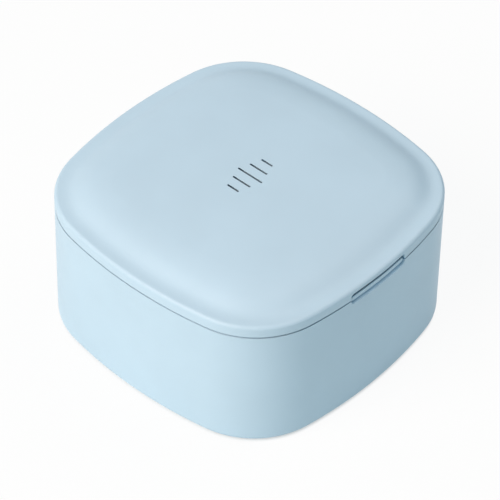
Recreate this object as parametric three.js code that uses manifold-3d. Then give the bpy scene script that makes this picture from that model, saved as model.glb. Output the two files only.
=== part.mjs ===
// Denture case: a rounded-square base shell that carries a watertight tub and a strainer basket, closed by a
// hinged lid with drying slits and a push-button latch. Millimetres, +Z up, front with its button towards -Y.
import * as THREE from 'three';
import { mergeVertices } from 'three/addons/utils/BufferGeometryUtils.js';
import Module from 'manifold-3d';

const wasm = await Module();
wasm.setup();

// Plan outline: bulged sides that run into tighter corners
const halfWidth = 46;
const sideArcRadius = 132;
const cornerArcRadius = 24.2;
const sideSteps = 4;
const cornerSteps = 6;

// Clearances
const fit = 0.3;
const overrun = 1;
const bite = 0.5;

// Base shell
const footStand = 0.6;
const baseHeight = 38.9;
const shellWall = 2;
const shellFloor = 2;
const bottomRound = 1.24;
const edgeBreak = 0.3;
const partingGap = 0.4;
const ledgeWidth = 1.2;
const ledgeBand = 3;

// Lid shell
const lidWallHeight = 1.7;
const lidEdgeRound = 2;
const shoulderReach = 12;
const shoulderRise = 3.65;
const domeRise = 1.15;
const lidSkin = 2;
const undersideSlant = 0.9;
const shoulderShares = [[0, 0], [0.167, 0.088], [0.25, 0.197], [0.333, 0.351], [0.417, 0.526], [0.5, 0.674],
  [0.583, 0.784], [0.71, 0.882], [0.85, 0.95], [1, 1]];
const domeShares = [[0.62, 0.62], [0.28, 0.93]];

// Drying slits in the lid
const slitPitch = 3.37;
const slitWidth = 0.6;
const slitLength = 8.6;
const slitLengthShares = [0.46, 0.72, 1, 0.72, 0.46];

// Tub
const tubInset = 8.6;
const tubWall = 1.5;
const tubDraft = 0.8;
const tubLift = 1.6;
const tubRound = 4;
const flangeDrop = 1.4;
const flangeThickness = 1.5;
const lipSetback = 0.2;

// Posts of the tub, with the screws and feet below them
const postRadius = 2.6;
const postInset = 6.2;
const postBossRadius = 3.4;
const postBossHeight = 2.7;
const footRadius = 3.7;
const footRecess = 1;
const screwHeadRadius = 2;
const screwHeadHeight = 1.4;
const screwShankRadius = 0.8;
const screwLength = 10;
const driveSlotWidth = 0.6;
const driveSlotDepth = 0.5;

// Lid liner, gasket and mirror
const linerThickness = 1.2;
const linerBead = 1.1;
const grooveDepth = 1.2;
const gasketHalfWidth = 1.3;
const gasketProud = 0.5;
const mirrorRadius = 24;
const mirrorThickness = 0.9;
const mirrorSetback = 0.2;
const dishWall = 2;
const dishFloor = 1.1;
const linerPostRadius = 1.5;
const linerPostReach = 26;
const linerPostHeight = 3.1;
const socketWall = 1;
const ventsPerCorner = 3;
const ventTurn = 15;
const ventGap = 1.9;
const ventLength = 6;
const ventWidth = 1.6;

// Hinge at the back
const hingeInset = 1.2;
const hingeDrop = 1;
const knuckleRadius = 2;
const knuckleRelief = 0.4;
const lidKnuckleLength = 14;
const baseKnuckleLength = 6;
const knuckleGap = 0.4;
const pinRadius = 0.8;
const pinFit = 0.25;
const gussetDrop = 8;
const gussetRise = 3.3;
const gussetRootInset = 1.8;
const gussetTurn = 50;

// Latch at the front
const buttonHalfLength = 10.3;
const buttonHeight = 3;
const buttonCorner = 1.1;
const buttonRecess = 0.5;
const buttonRound = 0.5;
const buttonTopGap = 0.5;
const buttonBelowParting = 1.3;
const buttonTravel = 1.2;
const wingInnerReach = 5.2;
const wingOuterReach = 12.3;
const wingThickness = 1;
const wingDepth = 5.2;
const pusherReach = 7;
const pusherWidth = 2;
const pusherHeight = 1.8;
const tongueHalfWidth = 4;
const tongueThickness = 1;
const nubReach = 0.7;
const nubHeight = 1.3;
const tongueDrop = 5.7;
const leafGap = 0.4;
const leafThickness = 0.5;
const leafHalfWidth = 9;
const leafTopDrop = 0.3;
const leafHeight = 15.6;
const leafFootHeight = 6;
const noseReach = 0.8;
const noseHeight = 1.8;
const noseTopShare = 0.3;
const latchScrewReach = 5.5;
const latchScrewRadius = 0.75;
const latchScrewHeadRadius = 1.5;
const latchScrewHeadHeight = 0.8;
const latchScrewLength = 4;
const latchBossRadius = 2.3;

// Basket
const basketGap = 1;
const basketWall = 1.3;
const basketFloor = 1.3;
const basketDraft = 1.6;
const basketRound = 3;
const basketHeight = 20;
const basketLift = 2;
const basketFootRadius = 2.5;
const basketFootGap = 0.4;
const basketRimReach = 1.2;
const basketRimHeight = 2;
const sideSlotCount = 40;
const sideSlotWidth = 2.4;
const sideSlotHeight = 10;
const floorSlotRows = 7;
const floorSlotColumns = 3;
const floorSlotWidth = 2.4;
const floorSlotBridge = 3;
const floorEndMargin = 5.3;
const floorSideMargin = 7.4;
const loopHalfWidth = 14;
const loopHeight = 9.8;
const loopBar = 2.6;
const loopThickness = 2;
const loopCorner = 4;

// Numbers of facets
const roundSides = 20;
const smallSides = 12;
const mirrorSides = 36;
const arcSteps = 2;
const curveSteps = 3;
const slitSteps = 2;

// Heights that follow
const baseBottom = footStand;
const partingZ = baseBottom + baseHeight;
const baseTop = partingZ - partingGap / 2;
const lidBottom = partingZ + partingGap / 2;
const lidEdgeZ = lidBottom + lidWallHeight + lidEdgeRound - partingGap / 2;
const plateauZ = lidEdgeZ + shoulderRise;
const flangeTop = baseTop - flangeDrop;
const flangeBottom = flangeTop - flangeThickness;
const ledgeTop = flangeBottom - fit;
const tubBottom = baseBottom + shellFloor + tubLift;
const tubFloorTop = tubBottom + tubWall;
const gasketBottom = lidBottom - gasketProud;
const lipTop = gasketBottom - fit;
const basketBottom = tubFloorTop + fit + basketLift;
const basketTop = basketBottom + basketHeight;
const shellInside = shellWall + fit;

// Outline arcs, quarter by quarter, all offset inwards by the same inset
const bulge = sideArcRadius - halfWidth;
const cornerCentre = (Math.sqrt(2 * (sideArcRadius - cornerArcRadius) ** 2 - bulge ** 2) - bulge) / 2;
const sideTurn = Math.atan2(cornerCentre, cornerCentre + bulge);
const cornerReach = cornerCentre * Math.SQRT2 + cornerArcRadius;

function outlineArcs(inset) {
  const arcs = [];
  for (let quarter = 0; quarter < 4; quarter += 1) {
    const turn = quarter * Math.PI / 2;
    const origin = new THREE.Vector2();
    arcs.push({
      centre: new THREE.Vector2(-bulge, 0).rotateAround(origin, turn),
      radius: sideArcRadius - inset,
      start: turn - sideTurn,
      sweep: 2 * sideTurn,
      steps: sideSteps,
    });
    arcs.push({
      centre: new THREE.Vector2(cornerCentre, cornerCentre).rotateAround(origin, turn),
      radius: cornerArcRadius - inset,
      start: turn + sideTurn,
      sweep: Math.PI / 2 - 2 * sideTurn,
      steps: cornerSteps,
    });
  }
  return arcs;
}

function arcPoint(arc, angle) {
  return new THREE.Vector2(Math.cos(angle), Math.sin(angle)).multiplyScalar(arc.radius).add(arc.centre);
}

function outline(inset) {
  return outlineArcs(inset).flatMap((arc) => Array.from({ length: arc.steps }, (_, step) => (
    arcPoint(arc, arc.start + arc.sweep * step / arc.steps))));
}

// Places evenly spaced along the outline, each with the direction that it faces
function placesAlong(inset, count) {
  const arcs = outlineArcs(inset);
  const total = arcs.reduce((sum, arc) => sum + arc.radius * arc.sweep, 0);
  return Array.from({ length: count }, (_, index) => {
    let left = total * index / count + arcs[0].radius * arcs[0].sweep / 2;
    for (const arc of [...arcs, arcs[0]]) {
      const length = arc.radius * arc.sweep;
      if (left <= length) {
        const angle = arc.start + left / arc.radius;
        return { point: arcPoint(arc, angle), angle };
      }
      left -= length;
    }
    return null;
  });
}

// Distance from the middle plane to a side of the outline, at a distance along that side
function sideReach(along, inset) {
  return Math.sqrt((sideArcRadius - inset) ** 2 - along ** 2) - bulge;
}

function ring(inset, z, share = 1) {
  return outline(inset).map((p) => [p.x * share, p.y * share, z]);
}

// Rings round a quarter of a circle in the wall's section: 0 faces outwards, 90 up and -90 down
function roundedRings(centreInset, centreZ, radius, fromDegrees, toDegrees) {
  return Array.from({ length: arcSteps + 1 }, (_, step) => {
    const angle = THREE.MathUtils.degToRad(fromDegrees + (toDegrees - fromDegrees) * step / arcSteps);
    return ring(centreInset - radius * Math.cos(angle), centreZ + radius * Math.sin(angle));
  });
}

function ringGeometry(rings, closed, startZ, endZ) {
  const count = rings[0].length;
  const positions = rings.flat(2);
  const index = [];
  const spans = closed ? rings.length : rings.length - 1;
  for (let span = 0; span < spans; span += 1) {
    const lower = span * count;
    const upper = ((span + 1) % rings.length) * count;
    for (let step = 0; step < count; step += 1) {
      const next = (step + 1) % count;
      index.push(lower + step, lower + next, upper + next);
      index.push(lower + step, upper + next, upper + step);
    }
  }
  if (!closed) {
    const first = positions.length / 3;
    const last = (rings.length - 1) * count;
    positions.push(0, 0, startZ, 0, 0, endZ);
    for (let step = 0; step < count; step += 1) {
      const next = (step + 1) % count;
      index.push(first, next, step);
      index.push(first + 1, last + step, last + next);
    }
  }
  const geometry = new THREE.BufferGeometry();
  geometry.setAttribute('position', new THREE.Float32BufferAttribute(positions, 3));
  geometry.setIndex(index);
  return geometry;
}

function cappedBody(rings, startZ = rings[0][0][2], endZ = rings.at(-1)[0][2]) {
  return toSolid(ringGeometry(rings, false, startZ, endZ));
}

function closedBand(rings) {
  return toSolid(ringGeometry(rings, true));
}

function toSolid(geometry) {
  const bare = geometry.clone();
  bare.deleteAttribute('normal');
  bare.deleteAttribute('uv');
  const merged = mergeVertices(bare);
  return new wasm.Manifold(new wasm.Mesh({
    numProp: 3,
    vertProperties: Float32Array.from(merged.attributes.position.array),
    triVerts: Uint32Array.from(merged.index.array),
  }));
}

function toGeometry(solid) {
  const { vertProperties, triVerts } = solid.getMesh();
  const geometry = new THREE.BufferGeometry();
  geometry.setAttribute('position', new THREE.BufferAttribute(vertProperties, 3));
  geometry.setIndex(new THREE.BufferAttribute(triVerts, 1));
  geometry.computeVertexNormals();
  return geometry;
}

function box([x0, x1], [y0, y1], [z0, z1]) {
  const geometry = new THREE.BoxGeometry(x1 - x0, y1 - y0, z1 - z0);
  geometry.translate((x0 + x1) / 2, (y0 + y1) / 2, (z0 + z1) / 2);
  return toSolid(geometry);
}

function uprightRod(radius, x, y, [z0, z1], sides = smallSides) {
  const geometry = new THREE.CylinderGeometry(radius, radius, z1 - z0, sides);
  geometry.rotateX(Math.PI / 2);
  geometry.translate(x, y, (z0 + z1) / 2);
  return toSolid(geometry);
}

function crossRod(radius, [x0, x1], y, z, sides = roundSides) {
  const geometry = new THREE.CylinderGeometry(radius, radius, x1 - x0, sides);
  geometry.rotateZ(Math.PI / 2);
  geometry.translate((x0 + x1) / 2, y, z);
  return toSolid(geometry);
}

function depthRod(radius, x, [y0, y1], z, sides = smallSides) {
  const geometry = new THREE.CylinderGeometry(radius, radius, y1 - y0, sides);
  geometry.translate(x, (y0 + y1) / 2, z);
  return toSolid(geometry);
}

// A prism along X whose section is a polygon of [y, z] points, anticlockwise seen from +X
function crossPrism([x0, x1], points) {
  const shape = new THREE.Shape(points.map(([y, z]) => new THREE.Vector2(y, z)));
  const geometry = new THREE.ExtrudeGeometry(shape, { depth: x1 - x0, bevelEnabled: false });
  geometry.applyMatrix4(new THREE.Matrix4().set(0, 0, 1, x0, 1, 0, 0, 0, 0, 1, 0, 0, 0, 0, 0, 1));
  return toSolid(geometry);
}

function roundedRectangle(halfX, halfY, corner) {
  const shape = new THREE.Shape();
  shape.absarc(halfX - corner, halfY - corner, corner, 0, Math.PI / 2);
  shape.absarc(corner - halfX, halfY - corner, corner, Math.PI / 2, Math.PI);
  shape.absarc(corner - halfX, corner - halfY, corner, Math.PI, 3 * Math.PI / 2);
  shape.absarc(halfX - corner, corner - halfY, corner, 3 * Math.PI / 2, 2 * Math.PI);
  return shape;
}

function extruded(shape, depth, curveSegments = curveSteps) {
  return new THREE.ExtrudeGeometry(shape, { depth, curveSegments, bevelEnabled: false });
}

function joined(solids) {
  return solids.reduce((sum, solid) => sum.add(solid));
}

const corners = [[-1, -1], [1, -1], [-1, 1], [1, 1]];
const sides = [-1, 1];

// Hinge line and latch places, counted from the walls that carry them
const hingeY = halfWidth - hingeInset;
const hingeZ = partingZ - hingeDrop;
const lidKnuckleSpan = [-lidKnuckleLength / 2, lidKnuckleLength / 2];
const baseKnuckleStart = lidKnuckleLength / 2 + knuckleGap;
const baseKnuckleEnd = baseKnuckleStart + baseKnuckleLength;
const pinBoreRadius = pinRadius + pinFit;
const gussetRootY = halfWidth - gussetRootInset;

const buttonBottom = partingZ - buttonBelowParting;
const buttonTop = buttonBottom + buttonHeight;
const wingFront = fit - sideReach(wingOuterReach, shellWall);
const wingTop = baseTop - fit;
const tongueFront = wingFront + buttonTravel + fit;
const tongueBack = tongueFront + tongueThickness;
const tongueBottom = lidBottom - tongueDrop;
const nubTop = tongueBottom + nubHeight;
const leafFront = tongueBack + nubReach + leafGap;
const leafBack = leafFront + leafThickness;
const leafTop = flangeTop - leafTopDrop;
const leafBottom = leafTop - leafHeight;
const latchScrewZ = leafBottom + leafFootHeight / 2;
const wellBack = leafBack + buttonTravel;
const postReach = (cornerReach - postInset) / Math.SQRT2;
const bossTop = baseBottom + shellFloor + postBossHeight;
const recessTop = baseBottom + footRecess;
const headSeat = recessTop + screwHeadHeight + fit;

function knuckle([x0, x1], gusset) {
  return crossRod(knuckleRadius, [x0, x1], hingeY, hingeZ).add(crossPrism([x0, x1], gusset));
}

function barrelPoint(degrees) {
  const angle = THREE.MathUtils.degToRad(degrees);
  return [hingeY + knuckleRadius * Math.cos(angle), hingeZ + knuckleRadius * Math.sin(angle)];
}

// Room round the barrel over part of its length
function hingeRelief(x0, x1) {
  return crossRod(knuckleRadius + knuckleRelief, [Math.min(x0, x1), Math.max(x0, x1)], hingeY, hingeZ);
}

function pinBore() {
  const reach = baseKnuckleEnd + overrun;
  return crossRod(pinBoreRadius, [-reach, reach], hingeY, hingeZ);
}

// The space that the button and its surround need in the front wall
function buttonOpening() {
  const halfHeight = (buttonHeight + fit + buttonTopGap) / 2;
  const middle = buttonBottom - fit + halfHeight;
  const depth = tongueFront + halfWidth + overrun;
  const geometry = extruded(roundedRectangle(buttonHalfLength + fit, halfHeight, buttonCorner), depth);
  geometry.rotateX(Math.PI / 2);
  geometry.translate(0, tongueFront, middle);
  return toSolid(geometry);
}

function baseShell() {
  const inner = shellWall + bottomRound;
  const floorTop = baseBottom + shellFloor;
  let shell = cappedBody([
    ...roundedRings(bottomRound, baseBottom + bottomRound, bottomRound, -90, 0),
    ring(0, baseTop - edgeBreak),
    ring(edgeBreak, baseTop),
    ring(shellWall, baseTop),
    ring(shellWall, ledgeTop),
    ring(shellWall + ledgeWidth, ledgeTop),
    ring(shellWall + ledgeWidth, ledgeTop - ledgeBand),
    ring(shellWall, ledgeTop - ledgeBand - ledgeWidth),
    ring(shellWall, floorTop + bottomRound),
    ring(inner, floorTop),
  ]);
  for (const [sx, sy] of corners) {
    const x = sx * postReach;
    const y = sy * postReach;
    shell = shell.add(uprightRod(postBossRadius, x, y, [baseBottom + shellFloor / 2, bossTop], roundSides));
    shell = shell.subtract(uprightRod(footRadius + fit, x, y, [baseBottom - overrun, recessTop], roundSides));
    shell = shell.subtract(uprightRod(screwHeadRadius + fit, x, y, [baseBottom, headSeat]));
    shell = shell.subtract(uprightRod(screwShankRadius + fit, x, y, [baseBottom, bossTop + overrun]));
  }
  for (const side of sides) {
    const x = side * latchScrewReach;
    const bossEnd = leafFront - fit;
    shell = shell.add(depthRod(latchBossRadius, x, [shellWall / 2 - halfWidth, bossEnd], latchScrewZ));
    const pilotStart = leafBack + fit - latchScrewLength;
    shell = shell.subtract(depthRod(latchScrewRadius + fit, x, [pilotStart, bossEnd + overrun], latchScrewZ));
  }
  const latchHalf = wingOuterReach + 2 * fit;
  const latchBack = shellWall + ledgeWidth + overrun - halfWidth;
  shell = shell.subtract(box([-latchHalf, latchHalf], [-sideReach(latchHalf, shellWall), latchBack],
    [ledgeTop - ledgeBand - ledgeWidth - overrun, baseTop + overrun]));
  shell = shell.subtract(buttonOpening());
  shell = shell.subtract(hingeRelief(-baseKnuckleStart, baseKnuckleStart));
  const gusset = [barrelPoint(-gussetTurn), [gussetRootY, hingeZ], [gussetRootY, hingeZ - gussetDrop]];
  for (const side of sides) {
    const span = [side * baseKnuckleStart, side * baseKnuckleEnd].sort((a, b) => a - b);
    shell = shell.add(knuckle(span, gusset));
  }
  return shell.subtract(pinBore());
}

function lidShoulder(startInset, startZ, shares) {
  return shares.map(([across, up]) => ring(startInset + across * shoulderReach, startZ + up * shoulderRise));
}

function lidShell() {
  const under = lidEdgeZ - lidSkin;
  const coarseShares = shoulderShares.filter((_, index) => index % 2 === 0).concat([shoulderShares.at(-1)]);
  const innerShoulder = lidShoulder(lidEdgeRound + undersideSlant, under, coarseShares);
  const plateauInset = lidEdgeRound + shoulderReach;
  const innerDome = domeShares.map(([share, up]) => (
    ring(plateauInset + undersideSlant, plateauZ - lidSkin + up * domeRise, share)));
  const outerDome = domeShares.map(([share, up]) => ring(plateauInset, plateauZ + up * domeRise, share));
  let shell = cappedBody([
    ...innerDome.reverse(),
    ...innerShoulder.reverse(),
    ring(shellWall, under),
    ring(shellWall, lidBottom),
    ring(edgeBreak, lidBottom),
    ring(0, lidBottom + edgeBreak),
    ...roundedRings(lidEdgeRound, lidEdgeZ - lidEdgeRound, lidEdgeRound, 0, 90),
    ...lidShoulder(lidEdgeRound, lidEdgeZ, shoulderShares).slice(1),
    ...outerDome,
  ], plateauZ - lidSkin + domeRise, plateauZ + domeRise);
  const socketTop = plateauZ - lidSkin + bite;
  const postTop = lidBottom + linerThickness + linerPostHeight;
  for (const [sx, sy] of corners) {
    const x = sx * linerPostReach;
    const y = sy * linerPostReach;
    const socketBottom = lidBottom + linerThickness + overrun;
    const boreRadius = linerPostRadius + fit;
    shell = shell.add(uprightRod(boreRadius + socketWall, x, y, [socketBottom, socketTop]));
    shell = shell.subtract(uprightRod(boreRadius, x, y, [socketBottom - overrun, postTop + fit]));
  }
  slitLengthShares.forEach((share, index) => {
    const x = (index - (slitLengthShares.length - 1) / 2) * slitPitch;
    const slit = roundedRectangle(slitWidth / 2, slitLength * share / 2, slitWidth / 2);
    const geometry = extruded(slit, lidSkin + domeRise + 2 * overrun, slitSteps);
    geometry.translate(x, 0, plateauZ - lidSkin - overrun);
    shell = shell.subtract(toSolid(geometry));
  });
  shell = shell.subtract(buttonOpening());
  for (const side of sides) {
    const start = side * (baseKnuckleStart - knuckleGap);
    shell = shell.subtract(hingeRelief(start, side * (baseKnuckleEnd + knuckleGap)));
  }
  const gusset = [barrelPoint(gussetTurn), [gussetRootY, partingZ + gussetRise], [gussetRootY, lidBottom + fit]];
  return shell.add(knuckle(lidKnuckleSpan, gusset)).subtract(pinBore());
}

function innerTub() {
  const foot = tubInset + tubDraft;
  const outerRound = tubRound + tubWall;
  const lipOuter = tubInset + lipSetback;
  const inner = tubInset + tubWall;
  let tub = cappedBody([
    ...roundedRings(foot + outerRound, tubBottom + outerRound, outerRound, -90, 0),
    ring(tubInset, flangeBottom),
    ring(shellInside, flangeBottom),
    ring(shellInside, flangeTop),
    ring(lipOuter, flangeTop),
    ring(lipOuter, lipTop),
    ring(inner, lipTop),
    ...roundedRings(inner + tubDraft + tubRound, tubFloorTop + tubRound, tubRound, 0, -90),
  ]);
  for (const [sx, sy] of corners) {
    const x = sx * postReach;
    const y = sy * postReach;
    const postBottom = bossTop + fit;
    tub = tub.add(uprightRod(postRadius, x, y, [postBottom, flangeBottom + bite]));
    const pilotTop = headSeat + screwLength + fit;
    tub = tub.subtract(uprightRod(screwShankRadius + fit, x, y, [postBottom - overrun, pilotTop]));
  }
  tub = tub.subtract(hingeRelief(-baseKnuckleEnd - knuckleGap, baseKnuckleEnd + knuckleGap));
  const wellHalf = wingOuterReach + fit;
  return tub.subtract(box([-wellHalf, wellHalf], [-halfWidth, wellBack], [flangeBottom - bite, flangeTop + bite]));
}

function lidLiner() {
  const lipMiddle = tubInset + (lipSetback + tubWall) / 2;
  const grooveOuter = lipMiddle - gasketHalfWidth - fit;
  const grooveInner = lipMiddle + gasketHalfWidth + fit;
  const top = lidBottom + linerThickness;
  const grooveTop = lidBottom + grooveDepth;
  const beadTop = top + linerBead;
  let liner = cappedBody([
    ring(grooveInner, lidBottom),
    ring(grooveInner, grooveTop),
    ring(grooveOuter, grooveTop),
    ring(grooveOuter, lidBottom),
    ring(shellInside, lidBottom),
    ring(shellInside, top),
    ring(grooveOuter - linerBead, top),
    ring(grooveOuter - bite, beadTop),
    ring(grooveInner + bite, beadTop),
    ring(grooveInner + linerBead, top),
  ]);
  const dishRadius = mirrorRadius + fit;
  const dishTop = lidBottom + mirrorSetback + mirrorThickness + fit;
  const dishSpan = [lidBottom, dishTop + dishFloor];
  liner = liner.add(uprightRod(dishRadius + dishWall, 0, 0, dishSpan, mirrorSides));
  liner = liner.subtract(uprightRod(dishRadius, 0, 0, [lidBottom - overrun, dishTop], mirrorSides));
  for (const [sx, sy] of corners) {
    const x = sx * linerPostReach;
    const y = sy * linerPostReach;
    liner = liner.add(uprightRod(linerPostRadius, x, y, [lidBottom + linerThickness / 2, top + linerPostHeight]));
  }
  const ventReach = dishRadius + dishWall + ventGap + ventWidth / 2;
  for (let quarter = 0; quarter < 4; quarter += 1) {
    for (let index = 0; index < ventsPerCorner; index += 1) {
      const turn = THREE.MathUtils.degToRad((index - (ventsPerCorner - 1) / 2) * ventTurn);
      const vent = new THREE.BoxGeometry(ventWidth, ventLength, linerThickness + 2 * overrun);
      vent.translate(ventReach, 0, lidBottom + linerThickness / 2);
      vent.rotateZ((quarter + 1 / 2) * Math.PI / 2 + turn);
      liner = liner.subtract(toSolid(vent));
    }
  }
  liner = liner.subtract(hingeRelief(-baseKnuckleEnd - knuckleGap, baseKnuckleEnd + knuckleGap));
  const notchHalf = buttonHalfLength + 2 * fit;
  liner = liner.subtract(box([-notchHalf, notchHalf], [-halfWidth, tongueFront], [lidBottom - bite, top + bite]));
  const tongue = crossPrism([-tongueHalfWidth, tongueHalfWidth], [
    [tongueFront, top],
    [tongueFront, tongueBottom],
    [tongueBack, tongueBottom],
    [tongueBack + nubReach, nubTop - nubHeight / 3],
    [tongueBack + nubReach, nubTop],
    [tongueBack, nubTop],
    [tongueBack, top],
  ]);
  return liner.add(tongue);
}

function lidGasket() {
  const lipMiddle = tubInset + (lipSetback + tubWall) / 2;
  const outer = lipMiddle - gasketHalfWidth;
  const inner = lipMiddle + gasketHalfWidth;
  const top = lidBottom + grooveDepth - fit;
  return closedBand([
    ring(lipMiddle, gasketBottom),
    ring(outer + edgeBreak, gasketBottom + edgeBreak),
    ring(outer, lidBottom),
    ring(outer, top),
    ring(inner, top),
    ring(inner, lidBottom),
    ring(inner - edgeBreak, gasketBottom + edgeBreak),
  ]);
}

function lidMirror() {
  const bottom = lidBottom + mirrorSetback;
  return uprightRod(mirrorRadius, 0, 0, [bottom, bottom + mirrorThickness], mirrorSides);
}

function hingePin() {
  const reach = baseKnuckleEnd - fit;
  return crossRod(pinRadius, [-reach, reach], hingeY, hingeZ, smallSides);
}

function latchButton() {
  const depth = wingFront + halfWidth;
  const face = extruded(roundedRectangle(buttonHalfLength, buttonHeight / 2, buttonCorner), depth + overrun);
  face.rotateX(Math.PI / 2);
  face.translate(0, wingFront, buttonBottom + buttonHeight / 2);
  const curvedFront = cappedBody([
    ring(buttonRecess + buttonRound, buttonBottom - fit),
    ring(buttonRecess, buttonBottom + buttonRound),
    ring(buttonRecess, buttonTop - buttonRound),
    ring(buttonRecess + buttonRound, buttonTop + fit),
  ]);
  const parts = [toSolid(face).intersect(curvedFront)];
  for (const side of sides) {
    const span = (a, b) => [side * a, side * b].sort((c, d) => c - d);
    const wingBack = wingFront + wingThickness;
    parts.push(box(span(wingInnerReach, buttonHalfLength - buttonCorner), [wingFront - bite, wingBack],
      [buttonBottom, wingTop]));
    parts.push(box(span(wingInnerReach, wingOuterReach), [wingFront, wingBack], [wingTop - wingDepth, wingTop]));
    const pusherZ = wingTop - wingDepth / 2;
    parts.push(box(span(pusherReach - pusherWidth / 2, pusherReach + pusherWidth / 2),
      [wingBack - bite, leafFront - fit], [pusherZ - pusherHeight / 2, pusherZ + pusherHeight / 2]));
  }
  return joined(parts);
}

function latchLeaf() {
  const strip = box([-leafHalfWidth, leafHalfWidth], [leafFront, leafBack], [leafBottom, leafTop]);
  const noseBottom = nubTop + fit;
  const nose = crossPrism([-tongueHalfWidth, tongueHalfWidth], [
    [leafFront + leafThickness / 2, noseBottom],
    [leafFront + leafThickness / 2, noseBottom + noseHeight],
    [leafFront, noseBottom + noseHeight],
    [leafFront - noseReach, noseBottom + noseHeight * noseTopShare],
    [leafFront - noseReach, noseBottom],
  ]);
  const bores = sides.map((side) => (
    depthRod(latchScrewRadius + fit, side * latchScrewReach, [leafFront - overrun, leafBack + overrun], latchScrewZ)));
  return strip.add(nose).subtract(joined(bores));
}

function latchScrew(side) {
  const x = side * latchScrewReach;
  const headStart = leafBack + fit;
  const headEnd = headStart + latchScrewHeadHeight;
  const head = depthRod(latchScrewHeadRadius, x, [headStart, headEnd], latchScrewZ);
  const shank = depthRod(latchScrewRadius, x, [headStart + fit - latchScrewLength, headStart + bite], latchScrewZ);
  const slot = box([x - latchScrewHeadRadius - overrun, x + latchScrewHeadRadius + overrun],
    [headEnd - latchScrewHeadHeight / 2, headEnd + overrun],
    [latchScrewZ - driveSlotWidth / 2, latchScrewZ + driveSlotWidth / 2]);
  return head.add(shank).subtract(slot);
}

function tubScrew(x, y) {
  const headTop = headSeat - fit;
  const head = uprightRod(screwHeadRadius, x, y, [recessTop, headTop]);
  const shank = uprightRod(screwShankRadius, x, y, [headTop - bite, headSeat + screwLength]);
  const slot = box([x - screwHeadRadius - overrun, x + screwHeadRadius + overrun],
    [y - driveSlotWidth / 2, y + driveSlotWidth / 2], [recessTop - overrun, recessTop + driveSlotDepth]);
  return head.add(shank).subtract(slot);
}

function foot(x, y) {
  return uprightRod(footRadius, x, y, [0, recessTop - fit], roundSides);
}

function basketLoop(side, outerX) {
  const shape = roundedRectangle(loopHalfWidth, loopHeight, loopCorner);
  shape.holes.push(roundedRectangle(loopHalfWidth - loopBar, loopHeight - loopBar, loopCorner - loopBar / 2));
  const geometry = extruded(shape, loopThickness);
  geometry.rotateX(Math.PI / 2);
  geometry.rotateZ(Math.PI / 2);
  const above = box([-halfWidth, halfWidth], [-halfWidth, halfWidth], [basketTop - bite, basketTop + 2 * loopHeight]);
  geometry.translate(side > 0 ? outerX - loopThickness : -outerX, 0, basketTop);
  return toSolid(geometry).intersect(above);
}

function basket() {
  const rimOuter = tubInset + tubWall + basketGap;
  const outer = rimOuter + basketRimReach;
  const foot = outer + basketDraft;
  const inner = outer + basketWall;
  const floorTop = basketBottom + basketFloor;
  const outerRound = basketRound + basketWall;
  let body = cappedBody([
    ...roundedRings(foot + outerRound, basketBottom + outerRound, outerRound, -90, 0),
    ring(outer, basketTop - basketRimHeight),
    ring(rimOuter, basketTop - basketRimHeight + edgeBreak),
    ring(rimOuter, basketTop),
    ring(inner, basketTop),
    ...roundedRings(inner + basketDraft + basketRound, floorTop + basketRound, basketRound, 0, -90),
  ]);
  const slotMiddle = (floorTop + basketRound + basketTop - basketRimHeight) / 2;
  const cuts = placesAlong(outer, sideSlotCount).map(({ point, angle }) => {
    const depth = basketWall + basketDraft + 2 * overrun;
    const slot = new THREE.BoxGeometry(depth, sideSlotWidth, sideSlotHeight);
    slot.translate(overrun - depth / 2, 0, 0);
    slot.rotateZ(angle);
    slot.translate(point.x, point.y, slotMiddle);
    return toSolid(slot);
  });
  const floorReach = halfWidth - inner - basketDraft - basketRound;
  const columnPitch = (2 * (floorReach - floorEndMargin) + floorSlotBridge) / floorSlotColumns;
  const slotLength = columnPitch - floorSlotBridge;
  const rowPitch = (2 * (floorReach - floorSideMargin) - floorSlotWidth) / (floorSlotRows - 1);
  for (let row = 0; row < floorSlotRows; row += 1) {
    for (let column = 0; column < floorSlotColumns; column += 1) {
      const x = (column - (floorSlotColumns - 1) / 2) * columnPitch;
      const y = (row - (floorSlotRows - 1) / 2) * rowPitch;
      cuts.push(box([x - slotLength / 2, x + slotLength / 2],
        [y - floorSlotWidth / 2, y + floorSlotWidth / 2], [basketBottom - overrun, floorTop + overrun]));
    }
  }
  body = body.subtract(joined(cuts));
  const footY = floorReach - floorSideMargin + basketFootGap + basketFootRadius;
  for (const [sx, sy] of corners) {
    const span = [basketBottom - basketLift, basketBottom + basketFloor / 2];
    body = body.add(uprightRod(basketFootRadius, sx * columnPitch, sy * footY, span));
  }
  const loopX = sideReach(loopHalfWidth, rimOuter);
  return joined([body, ...sides.map((side) => basketLoop(side, loopX))]);
}

// Finishes
function plastic(color, roughness) {
  return new THREE.MeshStandardMaterial({ color, roughness, metalness: 0 });
}

function steel(color, roughness) {
  return new THREE.MeshStandardMaterial({ color, roughness, metalness: 1 });
}

const model = new THREE.Group();
model.position.y = (hingeInset - knuckleRadius) / 2;

function place(name, solid, material) {
  const mesh = new THREE.Mesh(toGeometry(solid), material);
  mesh.name = name;
  model.add(mesh);
}

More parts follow.
